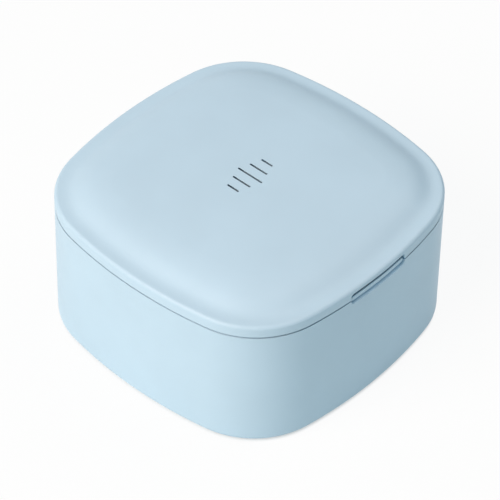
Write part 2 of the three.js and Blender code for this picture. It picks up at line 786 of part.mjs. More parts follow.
place('base_shell', baseShell(), plastic(0xb9d3e0, 0.42));
place('inner_tub', innerTub(), plastic(0xe6eef1, 0.35));
place('basket', basket(), plastic(0xf2f5f6, 0.4));
place('lid_shell', lidShell(), plastic(0xb9d3e0, 0.42));
place('lid_liner', lidLiner(), plastic(0xe6eef1, 0.38));
place('lid_gasket', lidGasket(), plastic(0xd5dde0, 0.6));
place('lid_mirror', lidMirror(), steel(0xe8ecee, 0.04));
place('hinge_pin', hingePin(), steel(0xb8bcc0, 0.25));
place('latch_button', latchButton(), plastic(0xb9d3e0, 0.42));
place('latch_leaf', latchLeaf(), plastic(0xdfe6ea, 0.45));
place('latch_screw_left', latchScrew(-1), steel(0xc2c6ca, 0.3));
place('latch_screw_right', latchScrew(1), steel(0xc2c6ca, 0.3));
for (const [sx, sy] of corners) {
  const where = `${sy < 0 ? 'front' : 'rear'}_${sx < 0 ? 'left' : 'right'}`;
  const x = sx * postReach;
  const y = sy * postReach;
  place(`tub_screw_${where}`, tubScrew(x, y), steel(0xc2c6ca, 0.3));
  place(`foot_${where}`, foot(x, y), plastic(0xcfd8dc, 0.75));
}

export default model;
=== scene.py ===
import math
from contextlib import contextmanager

import bmesh
import bpy
import numpy as np
from mathutils import Matrix, Vector


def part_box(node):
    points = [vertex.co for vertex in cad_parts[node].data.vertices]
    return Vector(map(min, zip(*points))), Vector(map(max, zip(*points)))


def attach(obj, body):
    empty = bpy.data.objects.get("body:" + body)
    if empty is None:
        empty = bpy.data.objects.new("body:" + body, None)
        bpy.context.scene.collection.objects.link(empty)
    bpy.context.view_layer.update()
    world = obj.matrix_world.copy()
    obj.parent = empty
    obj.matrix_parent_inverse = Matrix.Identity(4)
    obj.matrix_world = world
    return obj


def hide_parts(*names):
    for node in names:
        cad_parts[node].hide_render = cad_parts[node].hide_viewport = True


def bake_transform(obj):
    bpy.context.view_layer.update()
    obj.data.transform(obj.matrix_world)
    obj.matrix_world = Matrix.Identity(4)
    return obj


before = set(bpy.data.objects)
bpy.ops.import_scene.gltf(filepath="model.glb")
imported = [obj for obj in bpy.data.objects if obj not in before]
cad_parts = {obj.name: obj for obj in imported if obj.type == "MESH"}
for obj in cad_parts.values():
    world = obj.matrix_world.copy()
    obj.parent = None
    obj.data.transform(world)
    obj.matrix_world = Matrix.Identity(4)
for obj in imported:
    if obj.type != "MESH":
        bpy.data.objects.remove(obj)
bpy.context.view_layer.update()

mm = 0.001
print("frame loaded, nodes:", len(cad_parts))

shellLow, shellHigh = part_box("base_shell")
basketLow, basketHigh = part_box("basket")
pinLow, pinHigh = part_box("hinge_pin")

# the plan outline, heights and fits that all pieces share, in millimetres
case = {
    "halfWidth": (shellHigh.x - shellLow.x) / 2 / mm,
    "middleY": (basketLow.y + basketHigh.y) / 2 / mm,
    "sideArc": 132.0,
    "cornerArc": 24.2,
    "sideSteps": 26,
    "cornerSteps": 24,
    "bottom": shellLow.z / mm,
    "parting": 39.5,
    "partingGap": 0.4,
    "wall": 2.0,
    "fit": 0.3,
    "tubInset": 8.6,
    "tubWall": 1.5,
    "lipSetback": 0.2,
    "postInset": 6.2,
    "hingeY": (pinLow.y + pinHigh.y - basketLow.y - basketHigh.y) / 2 / mm,
    "hingeZ": (pinLow.z + pinHigh.z) / 2 / mm,
    "buttonHalf": 10.3,
    "buttonLow": 38.2,
    "buttonHigh": 41.2,
    "buttonCorner": 1.1,
}
baseTop = case["parting"] - case["partingGap"] / 2
lidBottom = case["parting"] + case["partingGap"] / 2
bulge = case["sideArc"] - case["halfWidth"]
arcReach = case["sideArc"] - case["cornerArc"]
cornerCentre = (math.sqrt(2 * arcReach**2 - bulge**2) - bulge) / 2
sideTurn = math.atan2(cornerCentre, cornerCentre + bulge)
cornerReach = cornerCentre * math.sqrt(2) + case["cornerArc"]
postReach = (cornerReach - case["postInset"]) / math.sqrt(2)
sealInset = case["tubInset"] + (case["lipSetback"] + case["tubWall"]) / 2


def sideReach(along, inset):
    # from the middle plane to a side wall, at a distance along that side
    return math.sqrt((case["sideArc"] - inset) ** 2 - along**2) - bulge


# Objects, modifiers and meshes

def linkObject(name, data):
    made = bpy.data.objects.new(name, data)
    bpy.context.scene.collection.objects.link(made)
    return made


def dropObject(thing):
    data = thing.data
    bpy.data.objects.remove(thing)
    if data is not None and data.users == 0:
        bpy.data.meshes.remove(data)


def plainMesh(piece):
    # the evaluated shape becomes the piece's own mesh and the modifiers go
    shape = bpy.data.meshes.new_from_object(piece.evaluated_get(bpy.context.evaluated_depsgraph_get()))
    old = piece.data
    piece.modifiers.clear()
    piece.data = shape
    bpy.data.meshes.remove(old)
    return piece


@contextmanager
def editing(data):
    # the mesh as a bmesh, written back afterwards
    shape = bmesh.new()
    shape.from_mesh(data)
    yield shape
    shape.to_mesh(data)
    shape.free()


def faceOutwards(piece):
    with editing(piece.data) as shape:
        if shape.calc_volume(signed=True) < 0:
            bmesh.ops.reverse_faces(shape, faces=shape.faces)
    return piece


def combine(piece, tools, operation):
    for tool in tools:
        step = piece.modifiers.new(operation, "BOOLEAN")
        step.operation = operation
        step.solver = "MANIFOLD"
        step.object = tool
    plainMesh(piece)
    for tool in tools:
        dropObject(tool)
    return piece


def cut(piece, *tools):
    return combine(piece, tools, "DIFFERENCE")


def join(piece, *tools):
    return combine(piece, tools, "UNION")


def move(piece, x=0.0, y=0.0, z=0.0):
    piece.data.transform(Matrix.Translation(Vector((x, y, z)) * mm))
    return piece


def turn(piece, degrees, axis):
    piece.data.transform(Matrix.Rotation(math.radians(degrees), 4, axis))
    return piece


# Node trees

def startTree(name, **inputs):
    # the inputs are labels by kind of socket, and each tree has a material as well
    tree = bpy.data.node_groups.new(name, "GeometryNodeTree")
    tree.interface.new_socket("Geometry", in_out="OUTPUT", socket_type="NodeSocketGeometry")
    for kind, labels in (inputs | {"Material": ["Material"]}).items():
        for label in labels:
            tree.interface.new_socket(label, in_out="INPUT", socket_type="NodeSocket" + kind)
    return tree, tree.nodes.new("NodeGroupInput").outputs


def setInputs(tree, node, links):
    # links are socket names with _ for spaces; a number after __ picks one of two sockets with one name
    for key, value in links.items():
        label, _, place = key.partition("__")
        label = label.replace("_", " ")
        socket = [s for s in node.inputs if s.name == label and s.enabled][int(place or 0)]
        if isinstance(value, (bpy.types.NodeSocket, list)):
            for source in value if isinstance(value, list) else [value]:
                tree.links.new(source, socket)
        else:
            socket.default_value = value


def outputs(tree, kind, settings=None, **links):
    # a new node of a kind, without the first words of its type's name, and its outputs by their names
    names = [family + kind for family in ("GeometryNode", "ShaderNode", "FunctionNode")]
    node = tree.nodes.new(next(name for name in names if hasattr(bpy.types, name)))
    for key, value in (settings or {}).items():
        setattr(node, key, value)
    setInputs(tree, node, links)
    return {socket.name: socket for socket in node.outputs if socket.enabled}


def add(tree, kind, settings=None, **links):
    # a new node's first output
    return next(iter(outputs(tree, kind, settings, **links).values()))


def calculate(tree, operation, *values):
    numbered = {f"Value__{place}": value for place, value in enumerate(values)}
    return add(tree, "Math", {"operation": operation}, **numbered)


def wholeNumber(tree, operation, first, second):
    return add(tree, "IntegerMath", {"operation": operation}, Value__0=first, Value__1=second)


def shapeOf(tree, source, asInstance=False):
    # the shape of an object that a tree is given
    return outputs(tree, "ObjectInfo", Object=source, As_Instance=asInstance)["Geometry"]


def gridPoints(tree, given):
    # points in rows and columns round the middle
    size = {}
    for axis, count in (("X", "Columns"), ("Y", "Rows")):
        gaps = calculate(tree, "SUBTRACT", given[count], 1.0)
        size["Size_" + axis] = calculate(tree, "MULTIPLY", given["Pitch " + axis], gaps)
    grid = add(tree, "MeshGrid", Vertices_X=given["Columns"], Vertices_Y=given["Rows"], **size)
    return add(tree, "MeshToPoints", Mesh=grid)


def finishTree(tree, geometry, given):
    real = add(tree, "RealizeInstances", Geometry=geometry)
    dressed = add(tree, "SetMaterial", Geometry=real, Material=given["Material"])
    tree.links.new(dressed, tree.nodes.new("NodeGroupOutput").inputs[0])
    return tree


def runTree(name, tree, values, *patterns):
    # a new piece from a tree, whose inputs are set by their identifiers first; the patterns go
    piece = linkObject(name, bpy.data.meshes.new(name))
    step = piece.modifiers.new(tree.name, "NODES")
    step.node_group = tree
    named = {item.name: item.identifier for item in tree.interface.items_tree if item.in_out == "INPUT"}
    for label, value in values.items():
        step[named[label]] = value
    plainMesh(piece)
    for pattern in patterns:
        dropObject(pattern)
    return piece


def loftTree():
    # a grid wrapped round an outline: each row takes its inset, share and height from the section
    tree, given = startTree("Loft round an outline", Object=["Outline", "Section"], Int=["Around", "Along"],
        Float=["Weld"])
    around, along = given["Around"], given["Along"]
    outline, section = shapeOf(tree, given["Outline"]), shapeOf(tree, given["Section"])
    grid = add(tree, "MeshGrid", Vertices_X=wholeNumber(tree, "ADD", around, 1), Vertices_Y=along)
    index, here = add(tree, "InputIndex"), add(tree, "InputPosition")
    column = wholeNumber(tree, "MODULO", wholeNumber(tree, "DIVIDE_FLOOR", index, along), around)
    row = wholeNumber(tree, "MODULO", index, along)
    vectors = {"data_type": "FLOAT_VECTOR"}
    facing = add(tree, "InputNamedAttribute", vectors, Name="facing")
    place = add(tree, "SampleIndex", vectors, Geometry=outline, Value=here, Index=column)
    out = add(tree, "SampleIndex", vectors, Geometry=outline, Value=facing, Index=column)
    level = add(tree, "SampleIndex", vectors, Geometry=section, Value=here, Index=row)
    inset, share, height = outputs(tree, "SeparateXYZ", Vector=level).values()
    back = add(tree, "VectorMath", {"operation": "SCALE"}, Vector=out, Scale=inset)
    inner = add(tree, "VectorMath", {"operation": "SUBTRACT"}, Vector__0=place, Vector__1=back)
    flat = add(tree, "VectorMath", {"operation": "SCALE"}, Vector=inner, Scale=share)
    lift = add(tree, "CombineXYZ", Z=height)
    final = add(tree, "VectorMath", {"operation": "ADD"}, Vector__0=flat, Vector__1=lift)
    wrapped = add(tree, "SetPosition", Geometry=grid, Position=final)
    return finishTree(tree, add(tree, "MergeByDistance", Geometry=wrapped, Distance=given["Weld"]), given)


def gridTree():
    # copies of one piece in rows and columns; the copies get shorter away from the middle column
    tree, given = startTree("Repeat in rows", Object=["Piece"], Int=["Columns", "Rows"],
        Float=["Pitch X", "Pitch Y", "Shorten", "Falloff"])
    points = gridPoints(tree, given)
    across = outputs(tree, "SeparateXYZ", Vector=add(tree, "InputPosition"))["X"]
    steps = calculate(tree, "ABSOLUTE", calculate(tree, "DIVIDE", across, given["Pitch X"]))
    away = calculate(tree, "POWER", steps, given["Falloff"])
    length = calculate(tree, "SUBTRACT", 1.0, calculate(tree, "MULTIPLY", away, given["Shorten"]))
    size = add(tree, "CombineXYZ", X=1.0, Y=length, Z=1.0)
    piece = shapeOf(tree, given["Piece"], True)
    return finishTree(tree, add(tree, "InstanceOnPoints", Points=points, Instance=piece, Scale=size), given)


def ringTree():
    # copies of one piece round the middle, in four groups that stand in the corners
    tree, given = startTree("Repeat in the corners", Object=["Piece"], Int=["Each Corner"],
        Float=["Reach", "Turn"])
    each, index = given["Each Corner"], add(tree, "InputIndex")
    quarter = calculate(tree, "ADD", wholeNumber(tree, "DIVIDE_FLOOR", index, each), 0.5)
    middle = calculate(tree, "DIVIDE", calculate(tree, "SUBTRACT", each, 1.0), 2.0)
    step = calculate(tree, "SUBTRACT", wholeNumber(tree, "MODULO", index, each), middle)
    corner = calculate(tree, "MULTIPLY", quarter, math.pi / 2)
    angle = calculate(tree, "ADD", corner, calculate(tree, "MULTIPLY", step, given["Turn"]))
    parts = (calculate(tree, operation, angle) for operation in ("COSINE", "SINE"))
    x, y = (calculate(tree, "MULTIPLY", part, given["Reach"]) for part in parts)
    points = add(tree, "Points", Count=wholeNumber(tree, "MULTIPLY", each, 4))
    placed = add(tree, "SetPosition", Geometry=points, Position=add(tree, "CombineXYZ", X=x, Y=y))
    copies = add(tree, "InstanceOnPoints", Points=placed, Instance=shapeOf(tree, given["Piece"], True),
        Rotation=add(tree, "CombineXYZ", Z=angle))
    return finishTree(tree, copies, given)


def wallTree():
    # copies of one piece evenly along an outline, each turned to face outwards and leaned with the wall
    tree, given = startTree("Repeat along the wall", Object=["Piece", "Outline"], Int=["Count"],
        Float=["Height", "Lean"])
    path = add(tree, "MeshToCurve", Mesh=shapeOf(tree, given["Outline"]))
    spread = outputs(tree, "CurveToPoints", Curve=path, Count=given["Count"])
    along = outputs(tree, "SeparateXYZ", Vector=spread["Tangent"])
    facing = calculate(tree, "SUBTRACT", calculate(tree, "ARCTAN2", along["Y"], along["X"]), math.pi / 2)
    lift = add(tree, "CombineXYZ", Z=given["Height"])
    raised = add(tree, "SetPosition", Geometry=spread["Points"], Offset=lift)
    copies = add(tree, "InstanceOnPoints", Points=raised, Instance=shapeOf(tree, given["Piece"], True),
        Rotation=add(tree, "CombineXYZ", Y=given["Lean"], Z=facing))
    return finishTree(tree, copies, given)


def sweepTree():
    # a section swept along a path, closed where the path is closed
    tree, given = startTree("Sweep along a path", Object=["Path", "Section"])
    line, rim = (add(tree, "MeshToCurve", Mesh=shapeOf(tree, given[label])) for label in ("Path", "Section"))
    return finishTree(tree, add(tree, "CurveToMesh", Curve=line, Profile_Curve=rim, Fill_Caps=True), given)


def screwTree():
    # a slotted screw with a rolled thread, pointing up, at one or more places in rows
    tree, given = startTree("Screws", Int=["Columns", "Rows"], Float=["Pitch X", "Pitch Y", "Head Radius",
        "Head Height", "Shank Radius", "Length", "Slot Width", "Slot Depth", "Thread Pitch"])

    def times(label, factor):
        return calculate(tree, "MULTIPLY", given[label], factor)

    def raised(shape, height):
        return add(tree, "Transform", Geometry=shape, Translation=add(tree, "CombineXYZ", Z=height))

    def rod(radius, low, high, sides):
        depth = calculate(tree, "SUBTRACT", high, low)
        body = add(tree, "MeshCylinder", Vertices=sides, Radius=radius, Depth=depth)
        return raised(body, calculate(tree, "DIVIDE", calculate(tree, "ADD", low, high), 2.0))

    def solid(operation, **parts):
        return add(tree, "MeshBoolean", {"operation": operation, "solver": "MANIFOLD"}, **parts)

    underHead = times("Head Height", 0.82)
    head = rod(given["Head Radius"], times("Head Height", 0.18), given["Head Height"], 48)
    crown = rod(times("Head Radius", 0.9), 0.0, underHead, 48)
    shank = rod(given["Shank Radius"], underHead, given["Length"], 32)
    across, deep = times("Head Radius", 3.0), times("Slot Depth", 2.0)
    slot = add(tree, "MeshCube", Size=add(tree, "CombineXYZ", X=across, Y=given["Slot Width"], Z=deep))
    slotted = solid("DIFFERENCE", Mesh_1=solid("UNION", Mesh=[head, crown, shank]), Mesh_2=[slot])
    plain = calculate(tree, "SUBTRACT", given["Length"], given["Head Height"])
    threaded = calculate(tree, "SUBTRACT", plain, times("Thread Pitch", 2.0))
    turns = calculate(tree, "DIVIDE", threaded, given["Thread Pitch"])
    helix = add(tree, "CurveSpiral", Resolution=24, Rotations=turns, Start_Radius=given["Shank Radius"],
        End_Radius=given["Shank Radius"], Height=threaded)
    ridge = add(tree, "CurvePrimitiveCircle", Resolution=3, Radius=times("Thread Pitch", 0.3))
    thread = add(tree, "CurveToMesh", Curve=helix, Profile_Curve=ridge, Fill_Caps=True)
    start = calculate(tree, "ADD", given["Head Height"], given["Thread Pitch"])
    screw = add(tree, "JoinGeometry", Geometry=[slotted, raised(thread, start)])
    copies = add(tree, "InstanceOnPoints", Points=gridPoints(tree, given), Instance=screw)
    return finishTree(tree, copies, given)


trees = {"loft": loftTree(), "grid": gridTree(), "ring": ringTree(), "wall": wallTree(), "sweep": sweepTree(),
    "screw": screwTree()}
print("node trees built:", len(trees))


# Outlines and sections

def outlineObject(name, places, closed=True):
    # places are (x, y, outward x, outward y) in millimetres
    table = np.array(places)
    count = len(table)
    points = np.column_stack([table[:, :2] * mm, np.zeros(count)])
    edges = [(i, (i + 1) % count) for i in range(count if closed else count - 1)]
    shape = bpy.data.meshes.new(name)
    shape.from_pydata(points.tolist(), edges, [])
    facing = shape.attributes.new("facing", "FLOAT_VECTOR", "POINT")
    facing.data.foreach_set("vector", np.column_stack([table[:, 2:], np.zeros(count)]).ravel())
    return linkObject(name, shape)


def caseOutline(inset=0.0):
    # a side and a corner, turned to each of the four quarters
    places = []
    corner = math.pi / 2 - 2 * sideTurn
    for c, s in ((1, 0), (0, 1), (-1, 0), (0, -1)):
        for centre, radius, start, sweep, steps in (
            ((-bulge, 0.0), case["sideArc"], -sideTurn, 2 * sideTurn, case["sideSteps"]),
            ((cornerCentre, cornerCentre), case["cornerArc"], sideTurn, corner, case["cornerSteps"]),
        ):
            for step in range(steps):
                angle = start + sweep * step / steps
                out = (math.cos(angle), math.sin(angle))
                spot = [centre[i] + (radius - inset) * out[i] for i in (0, 1)]
                places.append([turned for x, y in (spot, out) for turned in (x * c - y * s, x * s + y * c)])
    half = case["sideSteps"] // 2        # so that it starts in the middle of a side
    return outlineObject("caseOutline", places[half:] + places[:half])


def roundOutline(radius, count):
    angles = (2 * math.pi * i / count for i in range(count))
    facing = [(math.cos(a), math.sin(a)) for a in angles]
    return outlineObject("roundOutline", [(radius * x, radius * y, x, y) for x, y in facing])


def boxOutline(halfX, halfY, corner, steps=6):
    # a rounded rectangle, with points along its straight sides as well
    places = []
    for quarter, (sx, sy) in enumerate(((1, 1), (-1, 1), (-1, -1), (1, -1))):
        centre = (sx * (halfX - corner), sy * (halfY - corner))
        for step in range(steps + 1):
            angle = (quarter + step / steps) * math.pi / 2
            out = (math.cos(angle), math.sin(angle))
            places.append((centre[0] + corner * out[0], centre[1] + corner * out[1], *out))
        if quarter in (0, 2):
            straight = 2 * (halfX - corner)
            for step in range(1, 16):
                places.append((centre[0] - sx * straight * step / 16, sy * halfY, 0.0, float(sy)))
    return outlineObject("boxOutline", places)


def roundedSection(corners, steps, shares=()):
    # corners are (inset, height) or (inset, height, radius); a radius turns the corner into an arc
    # with shares, both ends run in to the middle, with a row at each of these shares of the outline
    path = []
    for i, corner in enumerate(corners):
        here = Vector(corner[:2])
        if len(corner) < 3 or not corner[2]:
            path.append(here)
            continue
        before, after = Vector(corners[i - 1][:2]) - here, Vector(corners[i + 1][:2]) - here
        a, b = before.normalized(), after.normalized()
        half = a.angle(b) / 2
        reach = min(corner[2] / math.tan(half), 0.45 * before.length, 0.45 * after.length)
        radius = reach * math.tan(half)
        centre = here + (a + b).normalized() * radius / math.sin(half)
        first, last = here + a * reach - centre, here + b * reach - centre
        sweep = first.angle(last)
        side = 1 if first.x * last.y - first.y * last.x > 0 else -1
        guard = min(0.5 * reach, 0.04 * before.length)
        path.append(here + a * (reach + guard))
        count = max(2, round(steps * sweep / (math.pi / 2)))
        for step in range(count + 1):
            angle = side * sweep * step / count
            arm = Vector((first.x * math.cos(angle) - first.y * math.sin(angle),
                first.x * math.sin(angle) + first.y * math.cos(angle)))
            path.append(centre + arm)
        guard = min(0.5 * reach, 0.04 * after.length)
        path.append(here + b * (reach + guard))
    first, last = ([(*end[:2], share) for share in shares] for end in (corners[0], corners[-1]))
    return first[::-1] + [(p.x, p.y, 1.0) for p in path] + last


def smoothSection(points, steps):
    # a curve through a few given points
    out = []
    ends = [points[0]] + list(points) + [points[-1]]
    for i in range(1, len(ends) - 2):
        p0, p1, p2, p3 = (Vector(ends[i + k]) for k in (-1, 0, 1, 2))
        for step in range(steps):
            t = step / steps
            p = 0.5 * (2 * p1 + (p2 - p0) * t + (2 * p0 - 5 * p1 + 4 * p2 - p3) * t**2
                + (3 * p1 - p0 - 3 * p2 + p3) * t**3)
            out.append((p.x, p.y, 1.0))
    out.append((*points[-1], 1.0))
    return out


floorShares = (0.98, 0.75, 0.5, 0.25, 0.0)        # the rows of a flat floor, from its rim to its middle


def capped(rows):
    # the first and the last row are closed with a flat face
    return [(*rows[0][:2], 0.0)] + rows + [(*rows[-1][:2], 0.0)]


def quarterTurn(steps):
    return [math.pi / 2 * i / steps for i in range(steps + 1)]


def roundedRows(reach, start, rise, angles):
    # part of a quarter circle, from its start to where it meets the outline
    return [(reach * (1 - math.sin(a)), start + rise * (1 - math.cos(a)), 1.0) for a in angles]


def loft(name, outline, rows):
    shape = bpy.data.meshes.new("section")
    shape.from_pydata([(inset * mm, share, height * mm) for inset, height, share in rows], [], [])
    section = linkObject("section", shape)
    values = {"Outline": outline, "Section": section, "Around": len(outline.data.vertices),
        "Along": len(rows), "Weld": 0.0005 * mm}
    return faceOutwards(runTree(name, trees["loft"], values, section, outline))


def inRows(name, piece, columns, rows, pitchX, pitchY, shorten=0.0, falloff=1.0, material=None):
    # copies of one piece, with their pitches in millimetres
    values = {"Piece": piece, "Columns": columns, "Rows": rows, "Pitch X": pitchX * mm,
        "Pitch Y": pitchY * mm, "Shorten": shorten, "Falloff": falloff, "Material": material}
    return runTree(name, trees["grid"], values, piece)


def atCorners(tool, reach=postReach):
    # the same tool at the four corner posts
    return inRows("cornerTools", tool, 2, 2, 2 * reach, 2 * reach)


def roundBar(name, radius, low, high, edge=0.0, count=48):
    # an upright rod with rounded ends
    corners = [(radius * 0.5, low), (0.0, low, edge), (0.0, high, edge), (radius * 0.5, high)]
    return loft(name, roundOutline(radius, count), roundedSection(corners, 4, (0.0,)))


def slotCutter(width, length, low, high, flare, mouths):
    # a stadium with both mouths flared, so that the cut keeps a rounded edge
    quarter = quarterTurn(4)
    rows = [(-flare, low, 1.0)] + roundedRows(-flare, mouths[0], flare, quarter)
    rows += roundedRows(-flare, mouths[1], -flare, quarter[::-1]) + [(-flare, high, 1.0)]
    return loft("slotCutter", boxOutline(width / 2, length / 2, width / 2 - 0.01, 5), capped(rows))


def bevelEdges(shape, edges, width, segments):
    bmesh.ops.bevel(shape, geom=edges, offset=width * mm, segments=segments, profile=0.5, affect="EDGES")


def block(name, x, y, z, edge=0.0):
    # a box between two places on each axis, with rounded edges
    made = linkObject(name, bpy.data.meshes.new(name))
    with editing(made.data) as shape:
        bmesh.ops.create_cube(shape, size=1.0)
        scale = Matrix.Diagonal(((x[1] - x[0]) * mm, (y[1] - y[0]) * mm, (z[1] - z[0]) * mm, 1.0))
        centre = Vector((sum(x) / 2, sum(y) / 2, sum(z) / 2)) * mm
        shape.transform(Matrix.Translation(centre) @ scale)
        if edge:
            bevelEdges(shape, shape.edges[:], edge, 3)
    return made


def prism(name, points, x0, x1, edge):
    # a polygon of (y, z) points drawn out along X, with its edges rounded
    made = linkObject(name, bpy.data.meshes.new(name))
    with editing(made.data) as shape:
        face = shape.faces.new([shape.verts.new((x0 * mm, y * mm, z * mm)) for y, z in points])
        drawn = bmesh.ops.extrude_face_region(shape, geom=[face])["geom"]
        moved = [item for item in drawn if isinstance(item, bmesh.types.BMVert)]
        bmesh.ops.translate(shape, verts=moved, vec=((x1 - x0) * mm, 0.0, 0.0))
        bmesh.ops.recalc_face_normals(shape, faces=shape.faces)
        if edge:
            sharp = [e for e in shape.edges if e.calc_face_angle(0.0) > 0.4]
            bevelEdges(shape, sharp, edge, 2)
    return faceOutwards(made)


def wallPlate(name, halfX, low, high, corner, rows, bend):
    # a rounded rectangle that stands in the front wall; a row is (inset of its edge, depth behind the wall,
    # share), and bend takes the heights from its middle line and the depths, and gives them back changed
    piece = loft(name, boxOutline(halfX, (high - low) / 2, corner), rows)
    co = np.empty(len(piece.data.vertices) * 3)
    piece.data.vertices.foreach_get("co", co)
    across, up, depth = (co.reshape(-1, 3) / mm).T
    up, depth = bend(up, depth)
    front = bulge - np.sqrt((case["sideArc"] - depth) ** 2 - across**2)
    placed = np.column_stack([across, front, up + (low + high) / 2]) * mm
    piece.data.vertices.foreach_set("co", placed.ravel())
    piece.data.update()
    return faceOutwards(piece)


def hingeRod(radius, x0, x1, edge=0.0, count=64):
    rod = roundBar("hingeRod", radius, x0, x1, edge, count)
    turn(rod, 90, "Y")
    return move(rod, 0.0, case["hingeY"], case["hingeZ"])


# Finishes

shellTone = np.array((0.494, 0.695, 0.828))
shellDrift = 0.018
milkySockets = {"Subsurface_Weight": 0.12, "Subsurface_Radius": (1.0, 1.0, 1.0), "Subsurface_Scale": 0.0015}

# tone is a field of noise with a dark and a light colour, roughness a field with its least and most, and
# grain the fields, with their strengths, that bump the surface by height (mm); a field is (scale, detail)
finishSet = {
    # satin moulded shell: a fine spark-eroded grain, and a very slight drift of tone
    "shell_plastic": {"name": "shellSatin", "roughness": ((900, 3), 0.40, 0.48),
        "tone": ((55, 2), shellTone * (1 - shellDrift), shellTone * (1 + shellDrift)),
        "grain": {(4200, 3): 0.6, (1500, 2): 0.5}, "height": 0.012,
        "sockets": {"Specular_IOR_Level": 0.32, "Subsurface_Weight": 0.03,
            "Subsurface_Radius": (0.9, 1.0, 1.1), "Subsurface_Scale": 0.0005}},
    # smooth off-white bowl, glossier than the shell, with faint flow waves
    "tub_plastic": {"name": "tubGloss", "roughness": ((260, 3), 0.17, 0.27),
        "tone": ((40, 2), (0.79, 0.835, 0.855), (0.82, 0.86, 0.875)),
        "grain": {(120, 2): 1.0, (3000, 2): 0.05}, "height": 0.02, "sockets": milkySockets},
    # white satin strainer with a fine texture
    "basket_plastic": {"name": "basketSatin", "roughness": ((700, 3), 0.33, 0.43),
        "tone": ((70, 2), (0.835, 0.86, 0.87), (0.865, 0.885, 0.89)),
        "grain": {(3600, 3): 0.6, (260, 2): 0.5}, "height": 0.012, "sockets": milkySockets},
    # matt silicone with the bloom that dulls it in patches
    "gasket_silicone": {"name": "gasketSilicone", "roughness": ((400, 4), 0.52, 0.72),
        "tone": ((160, 3), (0.60, 0.66, 0.69), (0.67, 0.72, 0.745)),
        "grain": {(2600, 3): 1.0}, "height": 0.012,
        "sockets": {"Subsurface_Weight": 0.2, "Subsurface_Scale": 0.001, "Sheen_Weight": 0.08}},
    # silvered glass with a trace of haze; the third number distorts that field
    "mirror_glass": {"name": "mirrorSilver", "roughness": ((90, 4, 0.6), 0.015, 0.05),
        "tone": ((30, 2), (0.84, 0.865, 0.87), (0.87, 0.885, 0.885)),
        "grain": {(25, 1): 1.0}, "height": 0.002, "sockets": {"Metallic": 1.0}},
    # drawn stainless, brushed along its length
    "pin_steel": {"name": "brightSteel", "roughness": ((1800, 3), 0.2, 0.36),
        "tone": ((1800, 3), (0.53, 0.54, 0.55), (0.66, 0.67, 0.68)),
        "grain": {(1800, 3): 1.0}, "height": 0.004, "stretch": (0.05, 1, 1), "sockets": {"Metallic": 1.0}},
    # smooth acetal spring leaf
    "leaf_plastic": {"name": "leafAcetal", "roughness": ((500, 3), 0.28, 0.4),
        "tone": ((90, 2), (0.77, 0.805, 0.82), (0.80, 0.83, 0.845)),
        "grain": {(2200, 2): 1.0}, "height": 0.008},
    # soft matt pad with a rubbery tooth
    "foot_rubber": {"name": "footRubber", "roughness": ((800, 3), 0.7, 0.88),
        "tone": ((220, 3), (0.50, 0.56, 0.60), (0.57, 0.63, 0.66)),
        "grain": {(1800, 4): 1.0}, "height": 0.03},
}
noiseLow, noiseHigh = 0.3, 0.7        # where nearly all of the noise lies


def makeFinish(s):
    material = bpy.data.materials.new(s["name"])
    material.use_nodes = True
    tree = material.node_tree
    place = outputs(tree, "TexCoord")["Object"]
    if "stretch" in s:
        place = add(tree, "Mapping", Vector=place, Scale=s["stretch"])

    def field(scale, detail, distortion=0.0):
        return add(tree, "TexNoise", Vector=place, Scale=scale, Detail=detail, Distortion=distortion)

    drift, *tones = s["tone"]
    tone = add(tree, "ValToRGB", Fac=field(*drift))
    for stop, position, colour in zip(tone.node.color_ramp.elements, (noiseLow, noiseHigh), tones):
        stop.position = position
        stop.color = (*colour, 1.0)
    spread, least, most = s["roughness"]
    roughness = add(tree, "MapRange", Value=field(*spread), From_Min=noiseLow, From_Max=noiseHigh,
        To_Min=least, To_Max=most)
    height = 0.0
    for grain, strength in s["grain"].items():
        height = calculate(tree, "ADD", calculate(tree, "MULTIPLY", field(*grain), strength), height)
    normal = add(tree, "Bump", Strength=1.0, Distance=s["height"] * mm, Height=height)
    sockets = {"Base_Color": tone, "Roughness": roughness, "Normal": normal} | s.get("sockets", {})
    setInputs(tree, tree.nodes["Principled BSDF"], sockets)
    return material


finishes = {slot: makeFinish(s) for slot, s in finishSet.items()}
print("finishes made:", len(finishes))


def settle(piece, body, slot, nodes, smoothAngle=32):
    # the last steps for every piece: its place, finish and shading, what it rides on and what it stands for
    move(piece, 0.0, case["middleY"])
    piece.data.materials.clear()
    piece.data.materials.append(finishes[slot])
    piece.data.polygons.foreach_set("material_index", [0] * len(piece.data.polygons))
    piece.data.shade_smooth()
    piece.data.set_sharp_from_angle(angle=math.radians(smoothAngle))
    if body:        # a piece given no body, such as the latch leaf, is left unattached
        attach(piece, body)
    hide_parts(*nodes)
    print("piece", piece.name, "triangles", sum(len(p.vertices) - 2 for p in piece.data.polygons))
    return piece


# Cuts that the base and the lid share

notch = {"low": case["buttonLow"] - case["fit"], "high": case["buttonHigh"] + 0.55, "flare": 0.3,
    "topShare": 0.2, "front": -1.5, "middle": 2.0, "back": 4.6}


def notchCutter():
    # the opening for the button: a soft lip below, and a crisp edge under the rim of the lid
    s = notch
    flare, half = s["flare"], (s["high"] - s["low"]) / 2
    rows = [(-flare, s["front"], 1.0)] + roundedRows(-flare, 0.0, flare, quarterTurn(6))
    rows += [(0.0, s["middle"], 1.0), (0.0, s["back"], 1.0)]

    def squeeze(up, depth):
        return np.minimum(up, half + (up - half) * s["topShare"]), depth

    wide = case["buttonHalf"] + case["fit"]
    return wallPlate("notchCutter", wide, s["low"], s["high"], case["buttonCorner"], capped(rows), squeeze)


